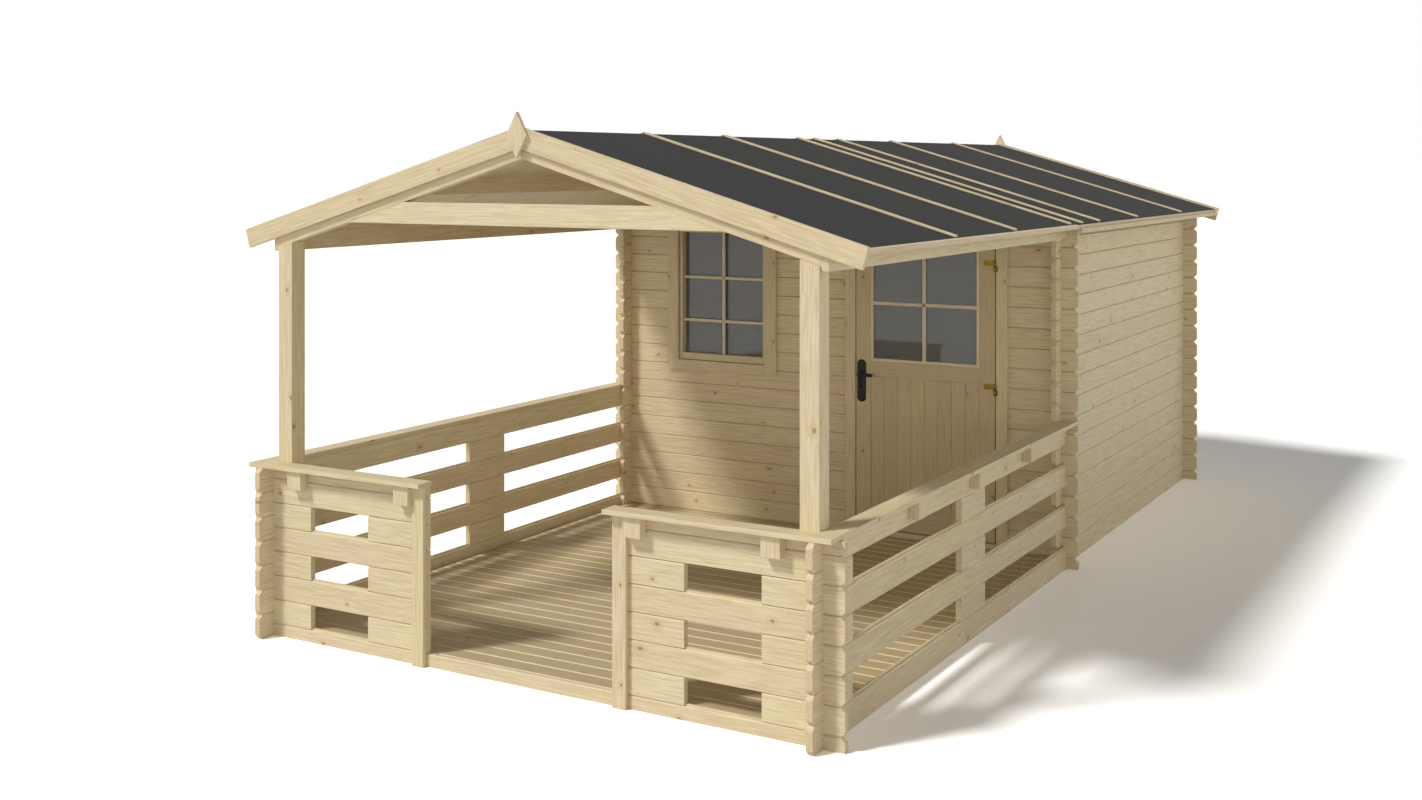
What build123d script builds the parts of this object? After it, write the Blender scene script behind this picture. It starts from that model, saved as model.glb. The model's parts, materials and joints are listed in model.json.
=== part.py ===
# Log cabin with a porch: a square room of interlocking spruce logs, a door and a window under
# a felted gable roof that reaches forward over a decked porch with a railing.
# Millimetres, +Z up, +X to the right along the front, the porch faces -Y.
# The origin is on the ground, at the middle of the whole object.
import os
from math import cos, radians, sin, tan

from build123d import *

# Logs: one section throughout, with eased long edges, open joints and chamfered stub ends
log_height = 112.0
log_thickness = 28.0
log_top_bevel = 5.0
log_bottom_bevel = 1.5
joint_gap = 2.0
joint_depth = 4.5
stub_length = 90.0
stub_chamfer = 19.0
tongue_thickness = 9.0
tongue_height = 8.0
tongue_clearance = 0.5

# Plan: distances between the middles of the walls
cabin_width = 2772.0
cabin_depth = 2772.0
porch_depth = 3000.0
wall_courses = 17
head_courses = 16
rail_courses = 7

# Floors: boards on joists that lie on the ground
floor_thickness = 19.0
joist_width = 45.0
joist_count = 7

# Porch front: two panels of logs with slots, either side of the entrance
entrance_width = 982.0
entrance_middle = 6.0
slot_reach = 995.0
slot_width = 346.0
trim_width = 66.0
trim_thickness = 22.0

# Porch sides: open rails on spacer blocks
corner_spacer_length = 250.0
middle_spacer_length = 306.0
middle_spacer_share = 0.5236

# Cap boards and the bracket blocks below them
cap_width = 94.0
cap_thickness = 20.0
front_cap_length = 1019.0
bracket_width = 85.0
bracket_height = 86.0
bracket_depth = 47.0
outer_bracket_reach = 1228.5
side_bracket_shares = (0.280, 0.5236, 0.769)

# Porch frame: posts, eave beams and a front pair of rafters with a tie beam
post_size = 85.0
eave_beam_thickness = 36.0
eave_beam_drop = 11.0
rafter_depth = 95.0
rafter_thickness = 45.0
tie_beam_height = 96.0
tie_beam_rise = 18.0

# Roof
roof_pitch = 16.2
eave_overhang = 204.0
back_overhang = 180.0
roof_board_thickness = 19.0
felt_thickness = 4.0
purlin_width = 45.0
purlin_depth = 69.0
purlin_share = 0.452
eave_strip_thickness = 16.0
eave_strip_height = 20.0
eave_strip_joint = 60.0
eave_strip_joint_share = 0.455
barge_depth = 90.0
barge_thickness = 20.0
barge_rise = 14.0
barge_end_reach = 15.0
finial_width = 104.0
finial_height = 195.0
finial_thickness = 18.0
finial_tip_rise = 60.0
batten_width = 26.0
batten_thickness = 9.0
batten_ridge_gap = 6.0
batten_eave_setback = 22.0
batten_place_shares = (0.164, 0.294, 0.437, 0.472, 0.526, 0.659, 0.841)

# Door: a half-glazed leaf that opens outwards, hinged on the right
door_middle = 612.0
door_frame_width = 980.0
jamb_width = 65.0
head_height = 57.0
threshold_height = 30.0
frame_depth = 70.0
door_gap = 6.0
leaf_thickness = 40.0
door_stile_width = 107.0
door_top_rail = 80.0
door_glass_height = 635.0
pane_thickness = 6.0
knuckle_radius = 7.0
knuckle_standoff = 1.0
hinge_height = 64.0
hinge_gap = 1.0
hinge_pin_radius = 4.0
hinge_pin_reach = 22.0
hinge_pin_clearance = 0.08
hinge_plate_length = 64.0
hinge_plate_height = 30.0
hinge_plate_thickness = 3.0
frame_plate_length = 14.0
hinge_end_distance = 162.0
hinge_count = 3

# Handle: a long plate on each face, with levers on one spindle
plate_width = 54.0
plate_height = 245.0
plate_thickness = 9.0
plate_edge_distance = 8.0
plate_drop = 40.0
lever_axis_height = 885.0
lever_radius = 8.0
lever_running_clearance = 0.5
lever_standoff = 38.0
lever_length = 92.0
lever_bar_height = 20.0
lever_bar_thickness = 11.0

# Window: a fixed sash in a frame with trim boards on the outside
window_middle = -711.5
window_head_drop = 24.0
window_frame_member = 29.0
window_frame_depth = 60.0
window_trim_width = 72.0
window_sill_trim = 62.0
window_trim_thickness = 20.0
pane_width = 560.0
pane_height = 743.0
sash_stile = 24.0
sash_bottom_rail = 43.0
sash_top_rail = 27.0
sash_proud = 3.0
sash_thickness = 55.0
pane_setback = 42.0

# Glazing bars: behind the face of the sash, and flush with the face of the door leaf
bar_width = 17.0
window_bar_setback = 18.0
window_bar_depth = 15.5
window_bar_shares = (0.272, 0.627)
door_bar_width = 20.0
door_pane_setback = 10.0

# Every cut runs past the faces it opens by this much
overrun = 5.0

# Heights and reaches that follow from the sizes above
half_log = log_thickness / 2
half_width = cabin_width / 2
course_half = log_height / 2
stub_reach = half_log + stub_length
wall_height = wall_courses * log_height
head_height_z = head_courses * log_height + course_half
rail_height = rail_courses * log_height
floor_top = course_half
pitch_rise = tan(radians(roof_pitch))
pitch_run = cos(radians(roof_pitch))
pitch_cross = sin(radians(roof_pitch))

# Places along Y: the object runs from the rail stubs in front to the finial behind
overall_length = stub_reach + porch_depth + cabin_depth + back_overhang + finial_thickness
panel_y = -overall_length / 2 + stub_reach
front_wall_y = panel_y + porch_depth
back_wall_y = front_wall_y + cabin_depth
rail_x = half_width + log_thickness
panel_front_y = panel_y - half_log
panel_back_y = panel_y + half_log
porch_back_y = front_wall_y - half_log
barge_front_y = panel_front_y + finial_thickness
roof_front_y = barge_front_y + barge_thickness
barge_back_y = back_wall_y + back_overhang
roof_back_y = barge_back_y - barge_thickness
roof_length = roof_back_y - roof_front_y
roof_half_span = half_width + eave_overhang
porch_run = porch_back_y - panel_back_y
middle_spacer_y = panel_back_y + middle_spacer_share * porch_run

# Joints between courses: half a log apart on the two wall directions
cross_joints = [course * log_height + course_half for course in range(2 * wall_courses)]
along_joints = [course * log_height for course in range(1, 2 * wall_courses)]


def roof_under(distance):
    """Height of the underside of the roof boards at a distance from the middle."""
    return wall_height + (half_width - abs(distance)) * pitch_rise


def above_roof(thickness):
    """Height, measured plumb, of a layer of the given thickness laid on the slope."""
    return thickness / pitch_run


def notched_line(place, low, high, joints, side, top_bevel, bottom_bevel):
    """Points up a plumb line, with bevels and an open gap at each joint; side points out of the wood."""
    deep = place - side * (max(top_bevel, bottom_bevel) + joint_depth)
    under = place - side * bottom_bevel
    inside = [joint for joint in joints if low <= joint <= high]
    points = []
    if low not in inside:
        points.append((place, low))
    for joint in inside:
        if joint > low:
            points += [(place, joint - top_bevel), (place - side * top_bevel, joint)]
        if joint < high:
            points += [(deep, joint), (deep, joint + joint_gap)]
            points += [(under, joint + joint_gap), (place, joint + joint_gap + bottom_bevel)]
    if high not in inside:
        points.append((place, high))
    return points


def face_line(place, low, high, joints, side):
    """The face of a wall of stacked logs."""
    return notched_line(place, low, high, joints, side, log_top_bevel, log_bottom_bevel)


def stub_line(place, low, high, joints, side):
    """The ends of stacked logs past a crossing."""
    return notched_line(place, low, high, joints, side, stub_chamfer, stub_chamfer)


def course_outline(middle, low, high, joints, slope=0.0):
    """Cross-section of stacked logs: eased edges at every joint, the top cut to a slope."""
    right = face_line(middle + half_log, low, high - slope * half_log, joints, 1)
    left = face_line(middle - half_log, low, high + slope * half_log, joints, -1)
    return right + left[::-1]


def crossing_bands(joints, low, high):
    """Middles of the half-height bands that a log gives up to the logs that cross it."""
    return [joint for joint in joints if low - course_half < joint < high + course_half]


def cut_crossings(places_x, places_y, bands):
    """Opens the half-lapped notches where the crossing logs pass through."""
    spots = [(x, y, z) for x in places_x for y in places_y for z in bands]
    with Locations(*spots):
        Box(log_thickness, log_thickness, course_half, mode=Mode.SUBTRACT)


def finish(piece, name):
    """Labels a finished piece and writes it out."""
    piece.part.label = name
    export_step(piece.part, f"parts/{name}.step")


def cross_wall(y, low, high, left, right, crossing, gable=False):
    """A wall along X: stacked logs, notched where walls cross it; an end past a crossing is a stub."""
    top = roof_under(0) if gable else high
    left_high = min(high, roof_under(left)) if gable else high
    right_high = min(high, roof_under(right)) if gable else high
    right_end = [(right, low), (right, right_high)]
    left_end = [(left, low), (left, left_high)]
    if right > crossing:
        right_end = stub_line(right, low, right_high, cross_joints, 1)
    if left < -crossing:
        left_end = stub_line(left, low, left_high, cross_joints, -1)
    peak = [(0, top)] if gable else []
    with BuildPart() as wall:
        with BuildSketch(Plane.YZ.offset(left)):
            with BuildLine():
                Polyline(*course_outline(y, low, top, cross_joints), close=True)
            make_face()
        extrude(amount=right - left)
        with BuildSketch(Plane.XZ.offset(-y)):
            with BuildLine():
                Polyline(*(right_end + peak + left_end[::-1]), close=True)
            make_face()
        extrude(amount=log_thickness, both=True, mode=Mode.INTERSECT)
        cut_crossings((-crossing, crossing), (y,), crossing_bands(cross_joints, low, high))
        if gable:
            add(roof_purlins.part, mode=Mode.SUBTRACT)
    return wall


def add_slab(corners, near, far):
    """A slab with the given outline across X and Z, from near to far along Y, in the current part."""
    with BuildSketch(Plane.XZ.offset(-near)) as outline:
        with BuildLine():
            Polyline(*corners, close=True)
        make_face()
    extrude(outline.sketch, amount=near - far)


os.makedirs("parts", exist_ok=True)
wall_end = half_width + stub_reach
panel_end = rail_x + stub_reach
entrance_left = entrance_middle - entrance_width / 2
entrance_right = entrance_middle + entrance_width / 2
door_left = door_middle - door_frame_width / 2
door_right = door_middle + door_frame_width / 2

# Ridge and intermediate purlins: bevelled to the slope, from the front rafters to the back barge
purlin_x = purlin_share * half_width
purlin_front_y = roof_front_y + rafter_thickness


def purlin_outline(middle):
    """Section of a purlin: plumb sides, a level bottom and a top that follows the roof."""
    left = middle - purlin_width / 2
    right = middle + purlin_width / 2
    low = min(roof_under(left), roof_under(right)) - purlin_depth
    tops = [(right, roof_under(right)), (left, roof_under(left))]
    if left < 0 < right:
        tops.insert(1, (0, roof_under(0)))
    return [(left, low), (right, low)] + tops


with BuildPart() as roof_purlins:
    for middle in (-purlin_x, 0, purlin_x):
        add_slab(purlin_outline(middle), purlin_front_y, roof_back_y)
finish(roof_purlins, "roof_purlins")

# Bottom half logs of the front wall and of the porch front
front_log = cross_wall(front_wall_y, 0, course_half, -wall_end, wall_end, half_width)
porch_log = cross_wall(panel_y, 0, course_half, -panel_end, panel_end, rail_x)
with BuildPart() as bottom_half_logs:
    add(front_log.part)
    add(porch_log.part)
finish(bottom_half_logs, "bottom_half_logs")

# Front wall of the room: a wall each side of the door, one with the window, and the gable over them
sash_width = pane_width + 2 * sash_stile
sash_height = pane_height + sash_bottom_rail + sash_top_rail
window_frame_width = sash_width + 2 * window_frame_member
window_frame_height = sash_height + 2 * window_frame_member
window_mid_z = head_height_z - window_head_drop - window_frame_height / 2
front_wall_left = cross_wall(front_wall_y, course_half, head_height_z, -wall_end, door_left, half_width)
with front_wall_left:
    with Locations((window_middle, front_wall_y, window_mid_z)):
        Box(window_frame_width, log_thickness + overrun, window_frame_height, mode=Mode.SUBTRACT)
finish(front_wall_left, "front_wall_left")
front_wall_right = cross_wall(front_wall_y, course_half, head_height_z, door_right, wall_end, half_width)
finish(front_wall_right, "front_wall_right")
front_gable = cross_wall(front_wall_y, head_height_z, wall_height, -wall_end, wall_end, half_width, True)
finish(front_gable, "front_gable")

# Back wall of the room, from the ground to the ridge
back_wall = cross_wall(back_wall_y, 0, wall_height, -wall_end, wall_end, half_width, True)
finish(back_wall, "back_wall")

# Side walls of the room: full logs from the ground, the top log bevelled to the roof
side_front = front_wall_y - stub_reach
side_back = back_wall_y + stub_reach
side_top = wall_height + course_half
side_joints = along_joints[: wall_courses - 1]
front_end = stub_line(side_front, 0, side_top, side_joints, -1)
back_end = stub_line(side_back, 0, side_top, side_joints, 1)
for name, side in (("left_wall", -1), ("right_wall", 1)):
    with BuildPart() as side_wall:
        outline = course_outline(side * half_width, 0, wall_height, side_joints, side * pitch_rise)
        add_slab(outline, side_front, side_back)
        with BuildSketch(Plane.YZ.offset(side * half_width)):
            with BuildLine():
                Polyline(*(back_end + front_end[::-1]), close=True)
            make_face()
        extrude(amount=log_thickness, both=True, mode=Mode.INTERSECT)
        bands = [0] + crossing_bands(along_joints, 0, wall_height)
        cut_crossings((side * half_width,), (front_wall_y, back_wall_y), bands)
    finish(side_wall, name)

# Floors: a slab of boards each for the porch and the room, the porch's notched round the posts
inner_half = half_width - half_log
joist_height = floor_top - floor_thickness
post_inner = rail_x - half_log - post_size
post_outer = post_inner + post_size
floor_z = floor_top - floor_thickness / 2
cabin_near = front_wall_y + half_log
cabin_far = back_wall_y - half_log
porch_mid_y = (panel_back_y + porch_back_y) / 2
with BuildPart() as porch_floor:
    with Locations((0, porch_mid_y, floor_z)):
        Box(2 * inner_half, porch_run, floor_thickness)
    with Locations((-inner_half, panel_back_y, floor_z), (inner_half, panel_back_y, floor_z)):
        Box(2 * (inner_half - post_inner), 2 * post_size, 2 * floor_thickness, mode=Mode.SUBTRACT)
finish(porch_floor, "porch_floor")
with BuildPart() as cabin_floor:
    with Locations((0, (cabin_near + cabin_far) / 2, floor_z)):
        Box(2 * inner_half, cabin_far - cabin_near, floor_thickness)
finish(cabin_floor, "cabin_floor")

# Joists under both floors, along Y, between the posts
joist_pitch = 2 * (post_inner - joist_width / 2) / (joist_count - 1)
with BuildPart() as floor_joists:
    for near, far in ((panel_back_y, porch_back_y), (cabin_near, cabin_far)):
        with Locations((0, (near + far) / 2, joist_height / 2)):
            with GridLocations(joist_pitch, 0, joist_count, 1):
                Box(joist_width, far - near, joist_height)
finish(floor_joists, "floor_joists")

# Porch front: a slotted panel of logs each side of the entrance
slot_rows = range(0, rail_courses - 1, 2)
panel_ends = {
    "front_panel_left": (-panel_end, entrance_left, -slot_reach),
    "front_panel_right": (entrance_right, panel_end, slot_reach),
}
for name, (left, right, slot_x) in panel_ends.items():
    panel = cross_wall(panel_y, course_half, rail_height, left, right, rail_x)
    with panel:
        for row in slot_rows:
            slot_low = row * log_height + course_half
            with Locations((slot_x, panel_y, slot_low + course_half)):
                Box(slot_width, log_thickness + overrun, log_height, mode=Mode.SUBTRACT)
            with Locations((slot_x, panel_y, slot_low + tongue_height / 2)):
                Box(slot_width, tongue_thickness, tongue_height)
    finish(panel, name)

# Trim boards that cover the log ends at the entrance, from the ground to the caps
left_trim_x = entrance_left - trim_width / 2
right_trim_x = entrance_right + trim_width / 2
trim_y = panel_front_y - trim_thickness / 2
with BuildPart() as entrance_trims:
    with Locations((left_trim_x, trim_y, rail_height / 2), (right_trim_x, trim_y, rail_height / 2)):
        Box(trim_width, trim_thickness, rail_height)
finish(entrance_trims, "entrance_trims")

# Side rails: four logs with open rows between them, kept apart by spacer blocks
rail_front = panel_y - stub_reach


def rail_outline(middle, low, grooved, tongued):
    """Section of one log: bevelled edges, a tongue on top and a groove below where they are used."""
    high = low + log_height
    slot = tongue_thickness / 2 + tongue_clearance
    tongue = tongue_thickness / 2
    bottom = [(middle - half_log + log_bottom_bevel, low)]
    if grooved:
        roof_of_groove = low + tongue_height + tongue_clearance
        bottom += [(middle - slot, low), (middle - slot, roof_of_groove)]
        bottom += [(middle + slot, roof_of_groove), (middle + slot, low)]
    bottom.append((middle + half_log - log_bottom_bevel, low))
    right = [(middle + half_log, low + log_bottom_bevel), (middle + half_log, high - log_top_bevel)]
    top = [(middle + half_log - log_top_bevel, high)]
    if tongued:
        top += [(middle + tongue, high), (middle + tongue, high + tongue_height)]
        top += [(middle - tongue, high + tongue_height), (middle - tongue, high)]
    top.append((middle - half_log + log_top_bevel, high))
    left = [(middle - half_log, high - log_top_bevel), (middle - half_log, low + log_bottom_bevel)]
    return bottom + right + top + left


def add_rail(middle, near, far, course, stub):
    """One log of the railing, from near to far along Y, its front end chamfered if it is a stub."""
    low = course * log_height
    high = low + log_height
    last = course == rail_courses - 1
    add_slab(rail_outline(middle, low, course > 0, not last), near, far)
    if stub:
        inner = near + stub_chamfer
        under = low - overrun
        over = high + tongue_height + overrun
        with BuildSketch(Plane.YZ.offset(middle)) as corners:
            for outside, edge, tip in ((under, low, low + stub_chamfer), (over, high, high - stub_chamfer)):
                with BuildLine():
                    Polyline((inner, outside), (inner, edge), (near, tip), (near - overrun, tip),
                             (near - overrun, outside), close=True)
                make_face()
        extrude(corners.sketch, amount=log_thickness, both=True, mode=Mode.SUBTRACT)


rail_bands = [0] + [joint for joint in along_joints if joint <= rail_height]
middle_near = middle_spacer_y - middle_spacer_length / 2
middle_far = middle_spacer_y + middle_spacer_length / 2
with BuildPart() as side_rails:
    for middle in (-rail_x, rail_x):
        for course in range(0, rail_courses, 2):
            add_rail(middle, rail_front, porch_back_y, course, True)
    cut_crossings((-rail_x, rail_x), (panel_y,), rail_bands)
finish(side_rails, "side_rails")
with BuildPart() as rail_spacers:
    for middle in (-rail_x, rail_x):
        for course in range(1, rail_courses - 1, 2):
            add_rail(middle, rail_front, panel_y + corner_spacer_length, course, True)
            add_rail(middle, middle_near, middle_far, course, False)
    cut_crossings((-rail_x, rail_x), (panel_y,), rail_bands)
finish(rail_spacers, "rail_spacers")

# Cap boards: flush with the inside of the railing, overhanging outwards
cap_outer = post_outer + cap_width
cap_z = rail_height + cap_thickness / 2
front_cap_x = cap_outer - front_cap_length / 2
front_cap_y = panel_back_y - cap_width / 2
side_cap_x = post_outer + cap_width / 2
with BuildPart() as front_caps:
    with Locations((-front_cap_x, front_cap_y, cap_z), (front_cap_x, front_cap_y, cap_z)):
        Box(front_cap_length, cap_width, cap_thickness)
finish(front_caps, "front_caps")
with BuildPart() as side_caps:
    with Locations((-side_cap_x, porch_mid_y, cap_z), (side_cap_x, porch_mid_y, cap_z)):
        Box(cap_width, porch_run, cap_thickness)
finish(side_caps, "side_caps")

# Bracket blocks: cut from half posts, under the overhang of the caps
bracket_z = rail_height - bracket_height / 2
left_bracket_x = left_trim_x - (trim_width + bracket_width) / 2
right_bracket_x = right_trim_x + (trim_width + bracket_width) / 2
front_bracket_places = (-outer_bracket_reach, left_bracket_x, right_bracket_x, outer_bracket_reach)
front_bracket_y = panel_front_y - bracket_depth / 2
side_bracket_x = rail_x + half_log + bracket_depth / 2
with BuildPart() as cap_brackets:
    for x in front_bracket_places:
        with Locations((x, front_bracket_y, bracket_z)):
            Box(bracket_width, bracket_depth, bracket_height)
    for side in (-1, 1):
        for share in side_bracket_shares:
            with Locations((side * side_bracket_x, panel_back_y + share * porch_run, bracket_z)):
                Box(bracket_depth, bracket_width, bracket_height)
finish(cap_brackets, "cap_brackets")


def slope_layer(side, start, end, low, high):
    """Corners of a layer on one slope, between two distances and two heights over the roof's underside."""
    return (
        (side * start, roof_under(start) + low),
        (side * end, roof_under(end) + low),
        (side * end, roof_under(end) + high),
        (side * start, roof_under(start) + high),
    )


def plumb_piece(side, start, end, low, drop):
    """Corners of a piece with plumb sides and a level bottom, its top a drop below the roof's underside."""
    return (
        (side * start, low),
        (side * end, low),
        (side * end, roof_under(end) - drop),
        (side * start, roof_under(start) - drop),
    )


# Porch posts: inside the corners of the railing, cut to the slope under the rafters
rafter_drop = above_roof(rafter_depth)
with BuildPart() as porch_posts:
    for side in (-1, 1):
        corners = plumb_piece(side, post_inner, post_outer, 0, rafter_drop)
        add_slab(corners, panel_back_y, panel_back_y + post_size)
finish(porch_posts, "porch_posts")

# Eave beams: outside the posts, from the front barge boards to the front wall, notched over its stubs
notch_top = head_courses * log_height
beam_low = notch_top - eave_beam_drop
beam_outer = post_outer + eave_beam_thickness
notch_front = side_front - joint_gap
with BuildPart() as eave_beams:
    for side in (-1, 1):
        add_slab(plumb_piece(side, post_outer, beam_outer, notch_top, 0), roof_front_y, porch_back_y)
        add_slab(plumb_piece(side, post_outer, beam_outer, beam_low, 0), roof_front_y, notch_front)
finish(eave_beams, "eave_beams")

# Front rafters, mitred at the ridge, standing on the posts
for word, side in (("left", -1), ("right", 1)):
    with BuildPart() as rafter:
        corners = slope_layer(side, 0, post_outer, -rafter_drop, 0)
        add_slab(corners, roof_front_y, roof_front_y + rafter_thickness)
    finish(rafter, f"front_rafter_{word}")

# Tie beam: level between the rafters, its ends cut to their undersides
tie_low = wall_height + tie_beam_rise
tie_high = tie_low + tie_beam_height


def rafter_reach(height):
    """Distance from the middle at which the underside of the rafters has the given height."""
    return half_width - (height + rafter_drop - wall_height) / pitch_rise


tie_corners = (
    (-rafter_reach(tie_low), tie_low),
    (rafter_reach(tie_low), tie_low),
    (rafter_reach(tie_high), tie_high),
    (-rafter_reach(tie_high), tie_high),
)
with BuildPart() as tie_beam:
    add_slab(tie_corners, roof_front_y, roof_front_y + rafter_thickness)
finish(tie_beam, "tie_beam")

# Roof: boards and felt on each slope, mitred at the ridge
board_rise = above_roof(roof_board_thickness)
felt_rise = board_rise + above_roof(felt_thickness)
board_end = roof_half_span - eave_strip_thickness
for word, side in (("left", -1), ("right", 1)):
    with BuildPart() as roof_boards:
        add_slab(slope_layer(side, 0, board_end, 0, board_rise), roof_front_y, roof_back_y)
    finish(roof_boards, f"roof_boards_{word}")
    with BuildPart() as roof_felt:
        add_slab(slope_layer(side, 0, board_end, board_rise, felt_rise), roof_front_y, roof_back_y)
    finish(roof_felt, f"roof_felt_{word}")

# Eave strips: in two lengths on each eave, against the ends of the roof boards, the front one up to
# the top of the felt and the back one lower by its own height
strip_joint_y = roof_front_y + eave_strip_joint_share * roof_length
front_strip_end = strip_joint_y - eave_strip_joint / 2
back_strip_start = strip_joint_y + eave_strip_joint / 2
strip_high = felt_rise
strip_middle = strip_high - eave_strip_height
strip_low = strip_middle - eave_strip_height
with BuildPart() as eave_strips:
    for side in (-1, 1):
        front_corners = slope_layer(side, board_end, roof_half_span, strip_middle, strip_high)
        add_slab(front_corners, roof_front_y, front_strip_end)
        back_corners = slope_layer(side, board_end, roof_half_span, strip_low, strip_middle)
        add_slab(back_corners, back_strip_start, roof_back_y)
finish(eave_strips, "eave_strips")

# Battens that hold the felt down, square across it from the ridge towards the eaves
batten_rise = felt_rise + above_roof(batten_thickness)
batten_end = roof_half_span - batten_eave_setback
with BuildPart() as roof_battens:
    for side in (-1, 1):
        for share in batten_place_shares:
            near = roof_front_y + share * roof_length - batten_width / 2
            corners = slope_layer(side, batten_ridge_gap / 2, batten_end, felt_rise, batten_rise)
            add_slab(corners, near, near + batten_width)
finish(roof_battens, "roof_battens")

# Barge boards on both gables, mitred at the ridge, their lower ends cut square
barge_top = above_roof(roof_board_thickness + felt_thickness + barge_rise)
barge_end = roof_half_span + barge_end_reach
for word, side in (("left", -1), ("right", 1)):
    end_height = roof_under(barge_end) + barge_top
    corners = (
        (0, roof_under(0) + barge_top),
        (side * barge_end, end_height),
        (side * (barge_end - barge_depth * pitch_cross), end_height - barge_depth * pitch_run),
        (0, roof_under(0) + barge_top - above_roof(barge_depth)),
    )
    with BuildPart() as barge_boards:
        add_slab(corners, barge_front_y, roof_front_y)
        add_slab(corners, roof_back_y, barge_back_y)
    finish(barge_boards, f"barge_boards_{word}")

# Finials: pointed boards over the mitres of the barge boards
finial_tip = roof_under(0) + barge_top + finial_tip_rise
finial_corners = (
    (0, finial_tip),
    (finial_width / 2, finial_tip - finial_height / 2),
    (0, finial_tip - finial_height),
    (-finial_width / 2, finial_tip - finial_height / 2),
)
with BuildPart() as finials:
    add_slab(finial_corners, panel_front_y, barge_front_y)
    add_slab(finial_corners, barge_back_y, barge_back_y + finial_thickness)
finish(finials, "finials")

# Door frame: two jambs, a head and a threshold
jamb_top = head_height_z - head_height
opening_left = door_left + jamb_width
opening_right = door_right - jamb_width
frame_front_y = front_wall_y - frame_depth / 2
jamb_mid_z = (floor_top + jamb_top) / 2
jamb_offset = (door_frame_width - jamb_width) / 2
with BuildPart() as door_jambs:
    for x in (door_middle - jamb_offset, door_middle + jamb_offset):
        with Locations((x, front_wall_y, jamb_mid_z)):
            Box(jamb_width, frame_depth, jamb_top - floor_top)
finish(door_jambs, "door_jambs")
with BuildPart() as door_head:
    with Locations((door_middle, front_wall_y, jamb_top + head_height / 2)):
        Box(door_frame_width, frame_depth, head_height)
finish(door_head, "door_head")
with BuildPart() as door_threshold:
    with Locations((door_middle, front_wall_y, floor_top + threshold_height / 2)):
        Box(opening_right - opening_left, frame_depth, threshold_height)
finish(door_threshold, "door_threshold")

# Door leaf: flush with the front of the frame, glazed in its upper half
leaf_left = opening_left + door_gap
leaf_right = opening_right - door_gap
leaf_low = floor_top + threshold_height + door_gap
leaf_high = jamb_top - door_gap
leaf_mid_y = frame_front_y + leaf_thickness / 2
glass_width = leaf_right - leaf_left - 2 * door_stile_width
glass_mid_z = leaf_high - door_top_rail - door_glass_height / 2
lever_x = leaf_left + plate_edge_distance + plate_width / 2
lever_z = leaf_low + lever_axis_height
lever_hole = lever_radius + lever_running_clearance
pane_front_y = frame_front_y + door_pane_setback
with BuildPart() as door_leaf:
    with Locations((door_middle, leaf_mid_y, (leaf_low + leaf_high) / 2)):
        Box(leaf_right - leaf_left, leaf_thickness, leaf_high - leaf_low)
    with Locations((door_middle, leaf_mid_y, glass_mid_z)):
        Box(glass_width, leaf_thickness + overrun, door_glass_height, mode=Mode.SUBTRACT)
    with Locations((door_middle, (frame_front_y + pane_front_y) / 2, glass_mid_z)):
        Box(glass_width, door_pane_setback, door_bar_width)
        Box(door_bar_width, door_pane_setback, door_glass_height)
    with Locations(Plane((lever_x, leaf_mid_y, lever_z), z_dir=(0, 1, 0))):
        Cylinder(lever_hole, leaf_thickness + overrun, mode=Mode.SUBTRACT)
finish(door_leaf, "door_leaf")
with BuildPart() as door_glass:
    with Locations((door_middle, pane_front_y + pane_thickness / 2, glass_mid_z)):
        Box(glass_width, pane_thickness, door_glass_height)
finish(door_glass, "door_glass")

# Hinges: the leaf's upper knuckles, on their plates, turn on pins in the frame's lower knuckles
hinge_x = leaf_right + door_gap / 2
hinge_y = frame_front_y - knuckle_standoff - knuckle_radius
hinge_step = (leaf_high - leaf_low - 2 * hinge_end_distance) / (hinge_count - 1)
hinge_heights = [leaf_low + hinge_end_distance + place * hinge_step for place in range(hinge_count)]
knuckle_length = (hinge_height - hinge_gap) / 2
hinge_plate_y = frame_front_y - hinge_plate_thickness / 2
plate_to_hinge = hinge_plate_length + door_gap / 2
bore_depth = hinge_pin_reach + hinge_gap
pin_length = hinge_pin_reach + hinge_gap / 2
with BuildPart() as door_hinge_straps:
    for height in hinge_heights:
        knuckle_z = height + (hinge_gap + knuckle_length) / 2
        with Locations((hinge_x, hinge_y, knuckle_z)):
            Cylinder(knuckle_radius, knuckle_length)
        strap_z = height + (hinge_height - hinge_plate_height) / 2
        with Locations((hinge_x - plate_to_hinge / 2, hinge_plate_y, strap_z)):
            Box(plate_to_hinge, hinge_plate_thickness, hinge_plate_height)
        with Locations((hinge_x, hinge_y, height + bore_depth / 2)):
            Cylinder(hinge_pin_radius + hinge_pin_clearance, bore_depth, mode=Mode.SUBTRACT)
finish(door_hinge_straps, "door_hinge_straps")
with BuildPart() as door_hinge_pins:
    for height in hinge_heights:
        knuckle_z = height - (hinge_gap + knuckle_length) / 2
        with Locations((hinge_x, hinge_y, knuckle_z)):
            Cylinder(knuckle_radius, knuckle_length)
        with Locations((hinge_x + frame_plate_length / 2, hinge_plate_y, knuckle_z)):
            Box(frame_plate_length, hinge_plate_thickness, knuckle_length)
        with Locations((hinge_x, hinge_y, height - hinge_gap / 2 + pin_length / 2)):
            Cylinder(hinge_pin_radius, pin_length)
finish(door_hinge_pins, "door_hinge_pins")

# Handle plates: long plates with round ends, one on each face of the leaf
leaf_back_y = frame_front_y + leaf_thickness
plate_z = lever_z - plate_drop
with BuildPart() as door_handle_plates:
    for face_y in (frame_front_y, leaf_back_y + plate_thickness):
        with BuildSketch(Plane.XZ.offset(-face_y)):
            with Locations((lever_x, plate_z)):
                SlotOverall(plate_height, plate_width, rotation=90)
            with Locations((lever_x, lever_z)):
                Circle(lever_hole, mode=Mode.SUBTRACT)
        extrude(amount=plate_thickness)
finish(door_handle_plates, "door_handle_plates")

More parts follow.
